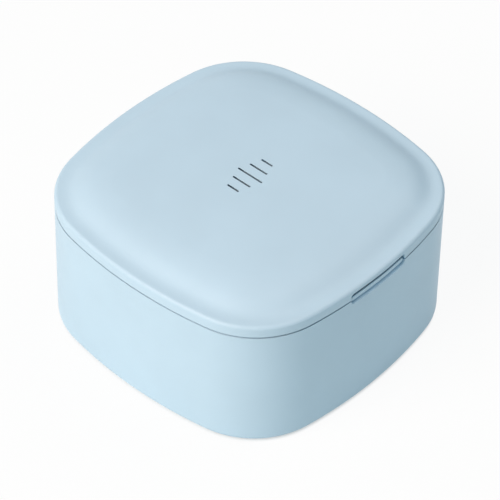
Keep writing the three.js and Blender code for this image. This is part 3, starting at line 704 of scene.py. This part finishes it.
hinge = {"knuckle": 2.0, "relief": 2.4, "lidHalf": 7.0, "gap": 0.4, "baseLength": 6.0, "bore": 1.05,
    "gussetDrop": 8.0, "gussetRise": 3.3, "rootInset": 1.8, "edge": 0.25, "turn": 50.0}
hingeStart = hinge["lidHalf"] + hinge["gap"]
hingeEnd = hingeStart + hinge["baseLength"]
reliefEnd = hingeEnd + hinge["gap"]        # where the pieces round the hinge give way to it


def pinBore():
    return hingeRod(hinge["bore"], -hingeEnd - 1, hingeEnd + 1)


def knuckle(x0, x1, upwards):
    h = hinge
    barrel = hingeRod(h["knuckle"], x0, x1, h["edge"])
    root = case["halfWidth"] - h["rootInset"]
    angle = math.radians(h["turn"] if upwards else -h["turn"])
    tip = (case["hingeY"] + h["knuckle"] * math.cos(angle), case["hingeZ"] + h["knuckle"] * math.sin(angle))
    if upwards:
        high, low = case["parting"] + h["gussetRise"], lidBottom + case["fit"]
    else:
        high, low = case["hingeZ"], case["hingeZ"] - h["gussetDrop"]
    return barrel, prism("gusset", [tip, (root, high), (root, low)], x0 + h["edge"], x1 - h["edge"], 0.0)


# Base shell

baseShellSet = {"floor": 2.0, "bottomRound": 1.24, "lip": 0.08, "grooveInner": 0.25, "grooveDepth": 0.7,
    "edge": 0.03, "bottomFlat": 4.0, "floorFlat": 6.0, "courses": (33.4, 35.2, 36.9), "ledge": 1.2,
    "ledgeTop": 36.1, "ledgeBand": 3.0, "bossRadius": 3.4, "bossTop": 5.3, "recess": 1.6,
    "recessFlare": 0.25, "headSeat": 3.3, "footGap": 4.0, "headBore": 2.3, "shankBore": 1.1,
    "latchBoss": 2.3, "latchBore": 1.05, "latchZ": 25.0, "latchReach": 5.5, "latchEnd": -39.82,
    "pilotStart": -42.72, "latchHalf": 12.9, "latchBack": -41.8, "latchLow": 30.9}


def latchSpot(radius, start, end, edge=0.0):
    # two rods that stand along Y at the places of the latch screws
    s = baseShellSet
    rods = []
    for side in (-1, 1):
        rod = turn(roundBar("latchSpot", radius, 0.0, end - start, edge), -90, "X")
        rods.append(move(rod, side * s["latchReach"], start, s["latchZ"]))
    return rods


def baseShell():
    s, low, wall = baseShellSet, case["bottom"], case["wall"]
    top, inside = s["ledgeTop"], low + s["floor"]
    edge, groove = s["edge"], baseTop - s["grooveDepth"]
    courses = [(0.0, z) for z in s["courses"]]        # short faces near the hinge keep the shading even
    corners = [(s["bottomFlat"], low), (0.0, low, s["bottomRound"]), *courses, (0.0, baseTop, edge),
        (s["lip"], baseTop, edge), (s["lip"], groove), (s["grooveInner"], groove),
        (s["grooveInner"], baseTop, edge), (wall, baseTop, 0.2), (wall, top, 0.2),
        (wall + s["ledge"], top, 0.3), (wall + s["ledge"], top - s["ledgeBand"], 0.5),
        (wall, top - s["ledgeBand"] - s["ledge"], 0.5),
        (wall, inside, s["bottomRound"]), (s["floorFlat"], inside)]
    shell = loft("baseShell", caseOutline(), roundedSection(corners, 6, floorShares))
    join(shell, atCorners(roundBar("boss", s["bossRadius"], low + 1.0, s["bossTop"], 0.35)),
        *latchSpot(s["latchBoss"], wall / 2 - case["halfWidth"], s["latchEnd"], 0.25))
    flare = s["recessFlare"]
    recess = capped([(0.0, s["recess"], 1.0), (0.0, low + flare, 1.0), (-flare, low, 1.0),
        (-flare, low - 1.0, 1.0)])
    cut(shell, atCorners(loft("footRecess", roundOutline(s["footGap"], 64), recess)),
        atCorners(roundBar("headBore", s["headBore"], low + 0.4, s["headSeat"])),
        atCorners(roundBar("shankBore", s["shankBore"], low + 0.4, s["bossTop"] + 1.0)),
        *latchSpot(s["latchBore"], s["pilotStart"], s["latchEnd"] + 1.0))
    half = s["latchHalf"]
    cut(shell, block("latchRoom", (-half, half), (-sideReach(half, wall), s["latchBack"]),
        (s["latchLow"], baseTop + 1)), notchCutter(), hingeRod(hinge["relief"], -hingeStart, hingeStart))
    for side in (-1, 1):
        join(shell, *knuckle(*sorted((side * hingeStart, side * hingeEnd)), False))
    cut(shell, pinBore())
    return settle(shell, "case", "shell_plastic", ["base_shell"])


baseShell()


# Lid shell

lidShellSet = {"edge": 0.06, "lipDepth": 0.8, "lipWidth": 1.25, "edgeRound": 1.1, "edgeZ": 43.2,
    "plateauInset": 15.5, "plateauZ": 46.85, "domeRise": 1.15, "skin": 2.0, "slant": 0.9,
    "socketReach": 26.0, "socketRadius": 2.8, "socketBore": 1.8, "socketLow": 41.9, "boreTop": 44.3,
    "shoulder": [(1.1, 0.0), (2.0, 0.02), (3.0, 0.09), (4.0, 0.29), (5.0, 0.68), (6.0, 1.18), (7.0, 1.68),
        (8.0, 2.12), (9.0, 2.47), (10.0, 2.75), (11.0, 2.98), (12.0, 3.17), (13.0, 3.33), (14.0, 3.47),
        (15.5, 3.65)], "slits": 5, "slitPitch": 3.37, "slitWidth": 0.6, "slitLength": 8.6,
    "slitShorten": 0.28, "slitFalloff": 0.947, "slitFlare": 0.03, "slitLip": 0.1, "slitUndercut": 1.0}


def domeRows(inset, low, rise, shares):
    return [(inset, low + rise * (1 - share**2), share) for share in shares]


def lidShell():
    s = lidShellSet
    shares = [0.985, 0.96, 0.92, 0.87] + [0.8 - 0.08 * i for i in range(10)] + [0.0]
    under = s["edgeZ"] - s["skin"]
    outer = roundedSection([(case["wall"], lidBottom), (s["lipWidth"] + 0.2, lidBottom, 0.1),
        (s["lipWidth"], lidBottom + s["lipDepth"], 0.1), (0.0, lidBottom, s["edge"]),
        (0.0, s["edgeZ"] - s["edgeRound"])], 4)
    edge, top = s["edgeRound"], s["edgeZ"]
    outer += [(edge * (1 - math.cos(a)), top - edge * (1 - math.sin(a)), 1.0) for a in quarterTurn(10)[1:-1]]
    outer += smoothSection([(inset, s["edgeZ"] + up) for inset, up in s["shoulder"]], 3)
    outer += domeRows(s["plateauInset"], s["plateauZ"], s["domeRise"], shares)
    low = s["plateauZ"] - s["skin"]
    inner = domeRows(s["plateauInset"] + s["slant"], low, s["domeRise"], shares[::-1])
    inner += smoothSection([(inset + s["slant"], under + up) for inset, up in s["shoulder"][:0:-1]], 2)
    inner += [(case["wall"] + 0.2, under, 1.0), (case["wall"], under - 0.2, 1.0)]
    shell = loft("lidShell", caseOutline(), inner + outer)
    socket = roundBar("socket", s["socketRadius"], s["socketLow"], low + 0.5, 0.2)
    join(shell, atCorners(socket, s["socketReach"]))
    crown, flare = s["plateauZ"] + s["domeRise"], -s["slitFlare"]
    wide = -s["slitUndercut"]        # each slit opens out below its thin lip
    slit = loft("slit", boxOutline(s["slitWidth"] / 2, s["slitLength"] / 2, s["slitWidth"] / 2 - 0.01, 5),
        capped([(wide, crown - 5.0, 1.0), (wide, crown - s["slitLip"] - s["slitUndercut"], 1.0),
            (0.0, crown - s["slitLip"], 1.0), (0.0, crown + flare, 1.0), (flare, crown + 0.01, 1.0),
            (flare, crown + 1.0, 1.0)]))
    slits = inRows("slitTools", slit, s["slits"], 1, s["slitPitch"], 0.0, s["slitShorten"], s["slitFalloff"])
    bore = roundBar("socketBore", s["socketBore"], s["socketLow"] - 1.0, s["boreTop"], 0.1)
    reliefs = [hingeRod(hinge["relief"], *sorted((side * hinge["lidHalf"], side * reliefEnd)))
        for side in (-1, 1)]
    cut(shell, atCorners(bore, s["socketReach"]), slits, notchCutter(), *reliefs)
    join(shell, *knuckle(-hinge["lidHalf"], hinge["lidHalf"], True))
    cut(shell, pinBore())
    return settle(shell, "lid", "shell_plastic", ["lid_shell"])


lidShell()


# Latch button

buttonSet = {"foot": 38.1, "top": 40.4, "corner": 0.9, "recess": 0.12, "lean": 0.6, "crown": 0.15,
    "round": 0.2, "depth": 1.5, "fall": 1.3, "fallStart": 0.4, "fallEnd": 0.9, "wingInner": 5.2,
    "wingFace": 9.2, "wingOuter": 12.3, "wingFront": -43.117, "wingThickness": 1.0, "wingTop": 39.0,
    "wingDepth": 5.2, "wingReach": 1.5, "pusherReach": 7.0, "pusherWidth": 2.0, "pusherHeight": 1.8,
    "pusherEnd": -39.82, "edge": 0.15}


def latchButton():
    s = buttonSet
    rows = [(s["round"], s["recess"], share) for share in (0.0, 0.3, 0.6, 0.85, 0.97)]
    rows += roundedRows(s["round"], s["recess"], s["round"], quarterTurn(6))
    rows += [(0.0, s["fallEnd"], 1.0), (0.0, s["depth"], 1.0), (0.0, s["depth"], 0.0)]
    height = s["top"] - s["foot"]

    def shape(up, depth):
        # the crowned face leans in towards its foot, and the top falls away behind the face
        share = up / height
        fall = s["fall"] * np.clip((depth - s["fallStart"]) / (s["fallEnd"] - s["fallStart"]), 0.0, 1.0)
        return up - fall * (share + 0.5), depth + s["lean"] * (0.5 - share) + s["crown"] * (2 * share)**2

    button = wallPlate("latchButton", case["buttonHalf"], s["foot"], s["top"], s["corner"], rows, shape)
    front, back, top = s["wingFront"], s["wingFront"] + s["wingThickness"], s["wingTop"]
    middle, rise = top - s["wingDepth"] / 2, s["pusherHeight"] / 2
    for side in (-1, 1):
        inner, outer = (sorted((side * s["wingInner"], side * s[end])) for end in ("wingFace", "wingOuter"))
        pusher = sorted(side * (s["pusherReach"] + part * s["pusherWidth"] / 2) for part in (-1, 1))
        low = case["buttonLow"] + 0.02
        join(button, block("wing", inner, (front - s["wingReach"], back), (low, top), s["edge"]),
            block("wing", outer, (front, back - 0.01), (top - s["wingDepth"], top - 0.01), s["edge"]),
            block("pusher", pusher, (back - 0.5, s["pusherEnd"]), (middle - rise, middle + rise), 0.3))
    return settle(button, "button", "shell_plastic", ["latch_button"])


latchButton()
print("stage: shells and button")


# Inner tub

tubSet = {"bottom": 4.2, "floor": 5.7, "flat": 8.0, "draft": 0.8, "round": 4.0, "flangeLow": 36.4,
    "flangeTop": 37.9, "lipTop": 38.9, "postRadius": 2.6, "postLow": 5.6, "pilot": 1.1, "pilotTop": 13.6,
    "wellHalf": 12.6, "wellBack": -37.817, "edge": 0.3}


def innerTub():
    s = tubSet
    inset, wall = case["tubInset"], case["tubWall"]
    foot, inner, lip = inset + s["draft"], inset + wall, inset + case["lipSetback"]
    skirt, low, top = case["wall"] + case["fit"], s["flangeLow"], s["flangeTop"]
    corners = [(foot + s["flat"], s["bottom"]), (foot, s["bottom"], s["round"] + wall), (inset, low, 0.6),
        (skirt, low, s["edge"]), (skirt, top, s["edge"]), (lip, top, 0.2), (lip, s["lipTop"], 0.5),
        (inner, s["lipTop"], 0.5), (inner + s["draft"], s["floor"], s["round"]),
        (inner + s["draft"] + s["flat"], s["floor"])]
    tub = loft("innerTub", caseOutline(), roundedSection(corners, 8, floorShares))
    join(tub, atCorners(roundBar("post", s["postRadius"], s["postLow"], low + 0.5, 0.3)))
    half = s["wellHalf"]
    cut(tub, atCorners(roundBar("pilot", s["pilot"], s["postLow"] - 1.0, s["pilotTop"])),
        hingeRod(hinge["relief"], -reliefEnd, reliefEnd),
        block("well", (-half, half), (-case["halfWidth"], s["wellBack"]), (low - 0.5, top + 0.5)))
    return settle(tub, "case", "tub_plastic", ["inner_tub"])


innerTub()


# Strainer basket

basketSet = {"bottom": 8.0, "top": 28.0, "floorTop": 9.3, "flat": 7.0, "rimOuter": 11.1, "outer": 12.3,
    "wall": 1.3, "draft": 1.6, "round": 3.0, "rimHeight": 2.0, "slots": 40, "slotWidth": 2.4,
    "slotHeight": 10.0, "slotZ": 19.15, "slotInset": 13.1, "lean": 6.66, "floorRows": 7, "floorColumns": 3,
    "floorPitchX": 16.0, "floorPitchY": 6.4, "floorSlot": 13.0, "flare": 0.35,
    "feet": (16.0, 23.3, 2.5, 2.0), "loopHalf": 14.0, "loopTop": 37.8, "loopBar": 2.6, "loopThick": 2.0,
    "loopCorner": 4.0, "loopEdge": 0.7, "loopX": 34.087}


def basketLoop(side):
    s = basketSet
    half, top = s["loopHalf"] - s["loopBar"] / 2, s["loopTop"] - s["loopBar"] / 2
    corner = s["loopCorner"] - s["loopBar"] / 2
    low = s["top"] - 0.6
    leg = [(-half, low + (top - corner - low) * i / 4) for i in range(4)]
    leg += [(-half + corner * (1 - math.cos(a)), top - corner * (1 - math.sin(a))) for a in quarterTurn(8)]
    across = [(-half + corner + 2 * (half - corner) * i / 10, top) for i in range(1, 10)]
    path = leg + across + [(-y, z) for y, z in leg[::-1]]
    rail = outlineObject("loopPath", [(0.0, 0.0, 0.0, 0.0)] * len(path), False)
    for vertex, (y, z) in zip(rail.data.vertices, path):
        vertex.co = (side * (s["loopX"] - s["loopThick"] / 2) * mm, y * mm, z * mm)
    section = boxOutline(s["loopThick"] / 2, s["loopBar"] / 2, s["loopEdge"], 4)
    return faceOutwards(runTree("basketLoop", trees["sweep"], {"Path": rail, "Section": section,
        "Material": finishes["basket_plastic"]}, rail, section))


def basket():
    s = basketSet
    bottom, floorTop = s["bottom"], s["floorTop"]
    outer, inner = s["outer"], s["outer"] + s["wall"]
    foot, under = outer + s["draft"], s["top"] - s["rimHeight"]
    corners = [(foot + s["flat"], bottom), (foot, bottom, s["round"] + s["wall"]), (outer, under, 0.4),
        (s["rimOuter"], under + 0.3, 0.4), (s["rimOuter"], s["top"], 0.5), (inner, s["top"], 0.5),
        (inner + s["draft"], floorTop, s["round"]), (inner + s["draft"] + s["flat"], floorTop)]
    bowl = loft("strainerBasket", caseOutline(), roundedSection(corners, 6, floorShares))
    slot = slotCutter(s["slotWidth"], s["slotHeight"], -4.0, 3.0, s["flare"], (-s["wall"] + 0.02, -0.02))
    turn(turn(slot, 90, "Z"), 90, "Y")
    rail = caseOutline(s["slotInset"])
    sides = runTree("sideSlots", trees["wall"], {"Piece": slot, "Outline": rail, "Count": s["slots"],
        "Height": s["slotZ"] * mm, "Lean": math.radians(s["lean"])}, slot, rail)
    floorSlot = turn(slotCutter(s["slotWidth"], s["floorSlot"], bottom - 1, floorTop + 1, s["flare"],
        (bottom + 0.02, floorTop - 0.02)), 90, "Z")
    cut(bowl, sides, inRows("floorSlots", floorSlot, s["floorColumns"], s["floorRows"], s["floorPitchX"],
        s["floorPitchY"]))
    x, y, radius, lift = s["feet"]
    stand = roundBar("stand", radius, bottom - lift, bottom + 0.6, 0.4)
    join(bowl, inRows("stands", stand, 2, 2, 2 * x, 2 * y), basketLoop(-1), basketLoop(1))
    return settle(bowl, "case", "basket_plastic", ["basket"])


basket()
print("stage: tub and basket")


# Lid liner, gasket and mirror

linerSet = {"thickness": 1.2, "flat": 14.0, "bead": 1.1, "grooveDepth": 1.2, "grooveOuter": 7.85,
    "grooveInner": 11.05, "dishOuter": 26.3, "dishInner": 24.3, "dishTop": 42.2, "dishFloor": 41.1,
    "postRadius": 1.5, "postReach": 26.0, "postTop": 44.0, "vents": 3, "ventTurn": 15.0, "ventReach": 29.0,
    "ventWidth": 1.6, "ventLength": 6.0, "notchHalf": 10.9, "tongueFront": -41.617, "tongueBack": -40.617,
    "tongueHalf": 4.0, "tongueLow": 34.0, "nubReach": 0.7, "nubTop": 35.3, "nubHeight": 1.3, "flare": 0.2}


def lidLiner():
    s = linerSet
    low, top = lidBottom, lidBottom + s["thickness"]
    roof, bead = low + s["grooveDepth"], s["bead"]
    skirt = case["wall"] + case["fit"]
    outer, inner = s["grooveOuter"], s["grooveInner"]
    corners = [(s["flat"], low), (inner, low, 0.3), (inner, roof, 0.2), (outer, roof, 0.2), (outer, low, 0.3),
        (skirt, low, 0.3), (skirt, top, 0.3), (outer - bead, top, 0.4), (outer - 0.5, top + bead, 0.4),
        (inner + 0.5, top + bead, 0.4), (inner + bead, top, 0.4), (s["flat"], top)]
    liner = loft("lidLiner", caseOutline(), roundedSection(corners, 4, floorShares))
    join(liner, roundBar("dish", s["dishOuter"], low + 0.001, s["dishTop"], 0.4, 120))
    well = loft("well", roundOutline(s["dishInner"], 120), capped([(0.0, s["dishFloor"], 0.5),
        (0.0, s["dishFloor"], 1.0), (0.0, low + 0.35, 1.0), (-0.1, low + 0.1, 1.0), (-0.35, low, 1.0),
        (-0.35, low - 1.0, 1.0)]))
    vent = slotCutter(s["ventWidth"], s["ventLength"], low - 1.0, top + 1.0, s["flare"], (low, top))
    vents = runTree("vents", trees["ring"], {"Piece": vent, "Each Corner": s["vents"],
        "Reach": s["ventReach"] * mm, "Turn": math.radians(s["ventTurn"])}, vent)
    half = s["notchHalf"]
    cut(liner, well, vents, hingeRod(hinge["relief"], -reliefEnd, reliefEnd),
        block("notch", (-half, half), (-case["halfWidth"], s["tongueFront"]), (low - 0.5, top + 0.5)))
    post = roundBar("linerPost", s["postRadius"], low + 0.6, s["postTop"], 0.3)
    join(liner, atCorners(post, s["postReach"]))
    front, back, nub = s["tongueFront"], s["tongueBack"], s["nubTop"]
    reach = back + s["nubReach"]
    tongue = prism("tongue", [(front, top - 0.1), (front, s["tongueLow"]), (back, s["tongueLow"]),
        (reach, nub - s["nubHeight"] / 3), (reach, nub), (back, nub), (back, top - 0.1)],
        -s["tongueHalf"], s["tongueHalf"], 0.12)
    join(liner, tongue)
    return settle(liner, "lid", "tub_plastic", ["lid_liner"])


gasketSet = {"half": 1.3, "low": 39.2, "top": 40.6, "round": 0.35, "bevel": 0.3, "channel": 0.25, "rib": 0.8,
    "lipReach": 0.25, "lipDrop": 0.3, "noseHalf": 0.62}


def lidGasket():
    # a D-shaped seal with a lip, swept along the groove; the section is (outwards, down)
    s = gasketSet
    half, low, top, edge, bevel = s["half"], s["low"], s["top"], s["round"], s["bevel"]
    floor, arc = top - s["channel"], quarterTurn(4)
    right = [(half, top - bevel), (half - bevel, top), (half - s["rib"], top), (half - 1.0, floor)]
    start, reach, drop = lidBottom + 0.1, s["lipReach"], s["lipDrop"]
    lip = [(-half + reach * (1 - math.cos(a)), start - drop * math.sin(a)) for a in arc]
    nose = [(-s["noseHalf"] * math.cos(2 * a), low + edge - edge * math.sin(2 * a)) for a in arc]
    points = right + [(-x, z) for x, z in right[::-1]] + lip + nose + [(-x, z) for x, z in lip[::-1]]
    section = outlineObject("section", [(x, -z, 0.0, 0.0) for x, z in points])
    rail = caseOutline(sealInset)
    gasket = runTree("lidGasket", trees["sweep"], {"Path": rail, "Section": section,
        "Material": finishes["gasket_silicone"]}, rail, section)
    return settle(faceOutwards(gasket), "lid", "gasket_silicone", ["lid_gasket"], 50)


mirrorSet = {"radius": 24.0, "low": 39.9, "top": 40.8, "bevel": 0.9, "bevelRise": 0.22, "edge": 0.1}


def lidMirror():
    s = mirrorSet
    low, top, edge = s["low"], s["top"], s["edge"]
    rim = low + s["bevelRise"]
    rows = [(0.0, low, share) for share in (0.0, 0.3, 0.6, 0.85)]
    rows += [(s["bevel"], low, 1.0), (0.12, rim, 1.0), (0.0, rim + edge, 1.0), (0.0, top - edge, 1.0)]
    rows += [(edge, top, share) for share in (1.0, 0.7, 0.35, 0.0)]
    mirror = loft("lidMirror", roundOutline(s["radius"], 144), rows)
    return settle(mirror, "lid", "mirror_glass", ["lid_mirror"], 8)


lidLiner()
lidGasket()
lidMirror()
print("stage: inside of the lid")


# Hinge pin, latch leaf, screws and feet

pinSet = {"radius": 0.8, "edge": 0.3, "sides": 40}


def hingePin():
    s = pinSet
    end = hingeEnd - case["fit"]
    pin = hingeRod(s["radius"], -end, end, s["edge"], s["sides"])
    pin.name = "hingePin"
    return settle(pin, "case", "pin_steel", ["hinge_pin"])


leafSet = {"half": 9.0, "front": -39.517, "back": -39.017, "low": 22.0, "top": 37.6, "courses": 26,
    "noseHalf": 4.0, "noseReach": 0.8, "noseLow": 35.6, "noseHeight": 1.8, "noseShare": 0.3, "bore": 1.05,
    "bendStart": 28.5, "bendEnd": 35.3}


def latchLeaf():
    # the strip is cut into thin courses first, so that it bends smoothly
    s = leafSet
    strip = block("latchLeaf", (-s["half"], s["half"]), (s["front"], s["back"]), (s["low"], s["top"]), 0.12)
    with editing(strip.data) as shape:
        for i in range(1, s["courses"]):
            level = s["low"] + (s["top"] - s["low"]) * i / s["courses"]
            bmesh.ops.bisect_plane(shape, geom=shape.verts[:] + shape.edges[:] + shape.faces[:],
                plane_co=(0, 0, level * mm), plane_no=(0, 0, 1))
    low, high = s["noseLow"], s["noseLow"] + s["noseHeight"]
    root, tip = (s["front"] + s["back"]) / 2, s["front"] - s["noseReach"]
    join(strip, prism("nose", [(root, low), (root, high), (s["front"], high),
        (tip, low + s["noseHeight"] * s["noseShare"]), (tip, low)], -s["noseHalf"], s["noseHalf"], 0.1))
    cut(strip, *latchSpot(s["bore"], s["front"] - 1.0, s["back"] + 1.0))
    leaf = settle(strip, None, "leaf_plastic", ["latch_leaf"])
    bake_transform(leaf)
    return leaf


screwSet = {"Slot Width": 0.6, "Slot Depth": 0.5, "Thread Pitch": 0.7}
tubScrewSet = {"Head Radius": 2.0, "Head Height": 1.4, "Shank Radius": 0.8, "Length": 11.7}
latchScrewSet = {"Head Radius": 1.5, "Head Height": 0.8, "Shank Radius": 0.75, "Length": 4.5}


def screws(name, s, columns, rows, pitchX, pitchY):
    sizes = screwSet | s | {"Pitch X": pitchX, "Pitch Y": pitchY}
    return runTree(name, trees["screw"], {label: size * mm for label, size in sizes.items()}
        | {"Columns": columns, "Rows": rows, "Material": finishes["pin_steel"]})


def cornerNodes(stem):
    return [f"{stem}_{end}_{side}" for end in ("front", "rear") for side in ("left", "right")]


def tubScrews():
    made = screws("tubScrews", tubScrewSet, 2, 2, 2 * postReach, 2 * postReach)
    return settle(move(made, z=baseShellSet["recess"]), "case", "pin_steel", cornerNodes("tub_screw"))


def latchScrews():
    s = baseShellSet
    made = turn(screws("latchScrews", latchScrewSet, 2, 1, 2 * s["latchReach"], 0.0), 90, "X")
    move(made, 0.0, leafSet["back"] + case["fit"] + latchScrewSet["Head Height"], s["latchZ"])
    return settle(made, "case", "pin_steel", ["latch_screw_left", "latch_screw_right"])


feetSet = {"radius": 3.7, "top": 1.3, "flat": 0.6, "edge": 0.35, "ring": 1.9, "ringWidth": 0.7,
    "ringDepth": 0.25}


def feet():
    # soft pads with a shallow moulded ring in the tread
    s = feetSet
    radius, depth, flat = s["radius"], s["ringDepth"], s["radius"] - s["flat"]
    near, far = (radius - s["ring"] + part * s["ringWidth"] / 2 for part in (1, -1))
    corners = [(flat, 0.0), (near, 0.0, 0.12), (near, depth, 0.1), (far, depth, 0.1), (far, 0.0, 0.12),
        (0.0, 0.0, s["edge"]), (0.0, s["top"], s["edge"]), (flat, s["top"])]
    pad = loft("pad", roundOutline(radius, 60), roundedSection(corners, 4, (0.0,)))
    pads = inRows("feet", pad, 2, 2, 2 * postReach, 2 * postReach, material=finishes["foot_rubber"])
    return settle(pads, "case", "foot_rubber", cornerNodes("foot"))


hingePin()
latchLeaf()
tubScrews()
latchScrews()
feet()
print("stage: hinge, latch, screws and feet")


# Floor, light and camera

def whiteToCamera(tree, output, plain, white, reach, contact=None):
    # white where the camera, a reflection or a clear piece looks straight at it, plain for the light it gives
    rays = outputs(tree, "LightPath")
    straight = rays["Is Camera Ray"]
    for ray in ("Is Glossy Ray", "Is Transmission Ray"):
        straight = calculate(tree, "MAXIMUM", straight, rays[ray])
    if contact:        # close under the piece an occlusion mask takes the white away, so the floor shows its real shade there as a dark contact line
        reach = add(tree, "AmbientOcclusion", Distance=contact, Color=(reach, reach, reach, 1.0))
    share = calculate(tree, "MULTIPLY", straight, reach)
    mix = add(tree, "MixShader", Fac=share, Shader__0=plain.outputs[0], Shader__1=white)
    tree.links.new(mix, tree.nodes[output].inputs["Surface"])


stageSet = {"floorSize": 6.0, "floorDrop": 0.00005, "floorTone": (0.79, 0.88, 0.885, 1.0),
    "floorRoughness": 0.9, "floorGloss": 0.1, "floorWhite": 0.92, "contact": 0.001, "ambient": 0.285,
    "ambientTone": (0.76, 1.0, 1.13, 1.0), "lampTone": (1.25, 1.0, 0.89), "lampSize": 1.6,
    "lampDistance": 2.2, "lampAim": 0.03, "lamps": {"softKey": (41.0, (-0.743, 0.145, 0.653)),
    "softFill": (9.5, (0.5, -0.2, 0.84))}}


def floorAndWorld():
    s = stageSet
    shape = bpy.data.meshes.new("floor")
    half = s["floorSize"] / 2
    corners = [(-half, -half, 0), (half, -half, 0), (half, half, 0), (-half, half, 0)]
    shape.from_pydata(corners, [], [(0, 1, 2, 3)])
    floor = linkObject("floor", shape)
    floor.location.z = -s["floorDrop"]
    material = bpy.data.materials.new("paleFloor")
    material.use_nodes = True
    tree = material.node_tree
    plain = tree.nodes["Principled BSDF"]
    setInputs(tree, plain, {"Base_Color": s["floorTone"], "Roughness": s["floorRoughness"],
        "Specular_IOR_Level": s["floorGloss"]})
    whiteToCamera(tree, "Material Output", plain, add(tree, "Emission"), s["floorWhite"], s["contact"])
    shape.materials.append(material)
    world = bpy.data.worlds.new("studio")
    bpy.context.scene.world = world
    world.use_nodes = True
    tree = world.node_tree
    plain = tree.nodes["Background"]
    setInputs(tree, plain, {"Color": s["ambientTone"], "Strength": s["ambient"]})
    whiteToCamera(tree, "World Output", plain, add(tree, "Background", Color=(1.0, 1.0, 1.0, 1.0)), 1.0)


def softLamps():
    s = stageSet
    for name, (power, aim) in s["lamps"].items():
        lamp = bpy.data.lights.new(name, "AREA")
        lamp.shape = "DISK"
        lamp.size = s["lampSize"]
        lamp.energy = power
        lamp.color = s["lampTone"]
        light = linkObject(name, lamp)
        direction = Vector(aim).normalized()
        light.location = direction * s["lampDistance"] + Vector((0.0, 0.0, s["lampAim"]))
        light.rotation_euler = direction.to_track_quat("Z", "Y").to_euler()


cameraSet = {"azimuth": -48.578, "elevation": 44.156, "roll": 1.118, "distance": 885.8,
    "target": (0.0, -0.4, 24.6), "lens": 234.55, "sensor": 36.0, "shiftX": 0.0022, "shiftY": -0.02371,
    "clipEnd": 20.0}


def photoCamera():
    s = cameraSet
    a, e, r = (math.radians(s[key]) for key in ("azimuth", "elevation", "roll"))
    back = Vector((math.sin(a) * math.cos(e), -math.cos(a) * math.cos(e), math.sin(e)))
    level = Vector((math.cos(a), math.sin(a), 0.0))
    up = back.cross(level)
    right = math.cos(r) * level + math.sin(r) * up
    upright = math.cos(r) * up - math.sin(r) * level
    data = bpy.data.cameras.new("photoCamera")
    data.lens = s["lens"]
    data.sensor_width = s["sensor"]
    data.shift_x, data.shift_y = s["shiftX"], s["shiftY"]
    data.clip_end = s["clipEnd"]
    camera = linkObject("photoCamera", data)
    spot = Vector(s["target"]) * mm + back * s["distance"] * mm
    turned = Matrix((right, upright, back)).transposed().to_4x4()
    camera.matrix_world = Matrix.Translation(spot) @ turned
    bpy.context.scene.camera = camera


floorAndWorld()
softLamps()
photoCamera()
bpy.context.scene.view_settings.view_transform = "Standard"
print("stage: floor, light and camera")
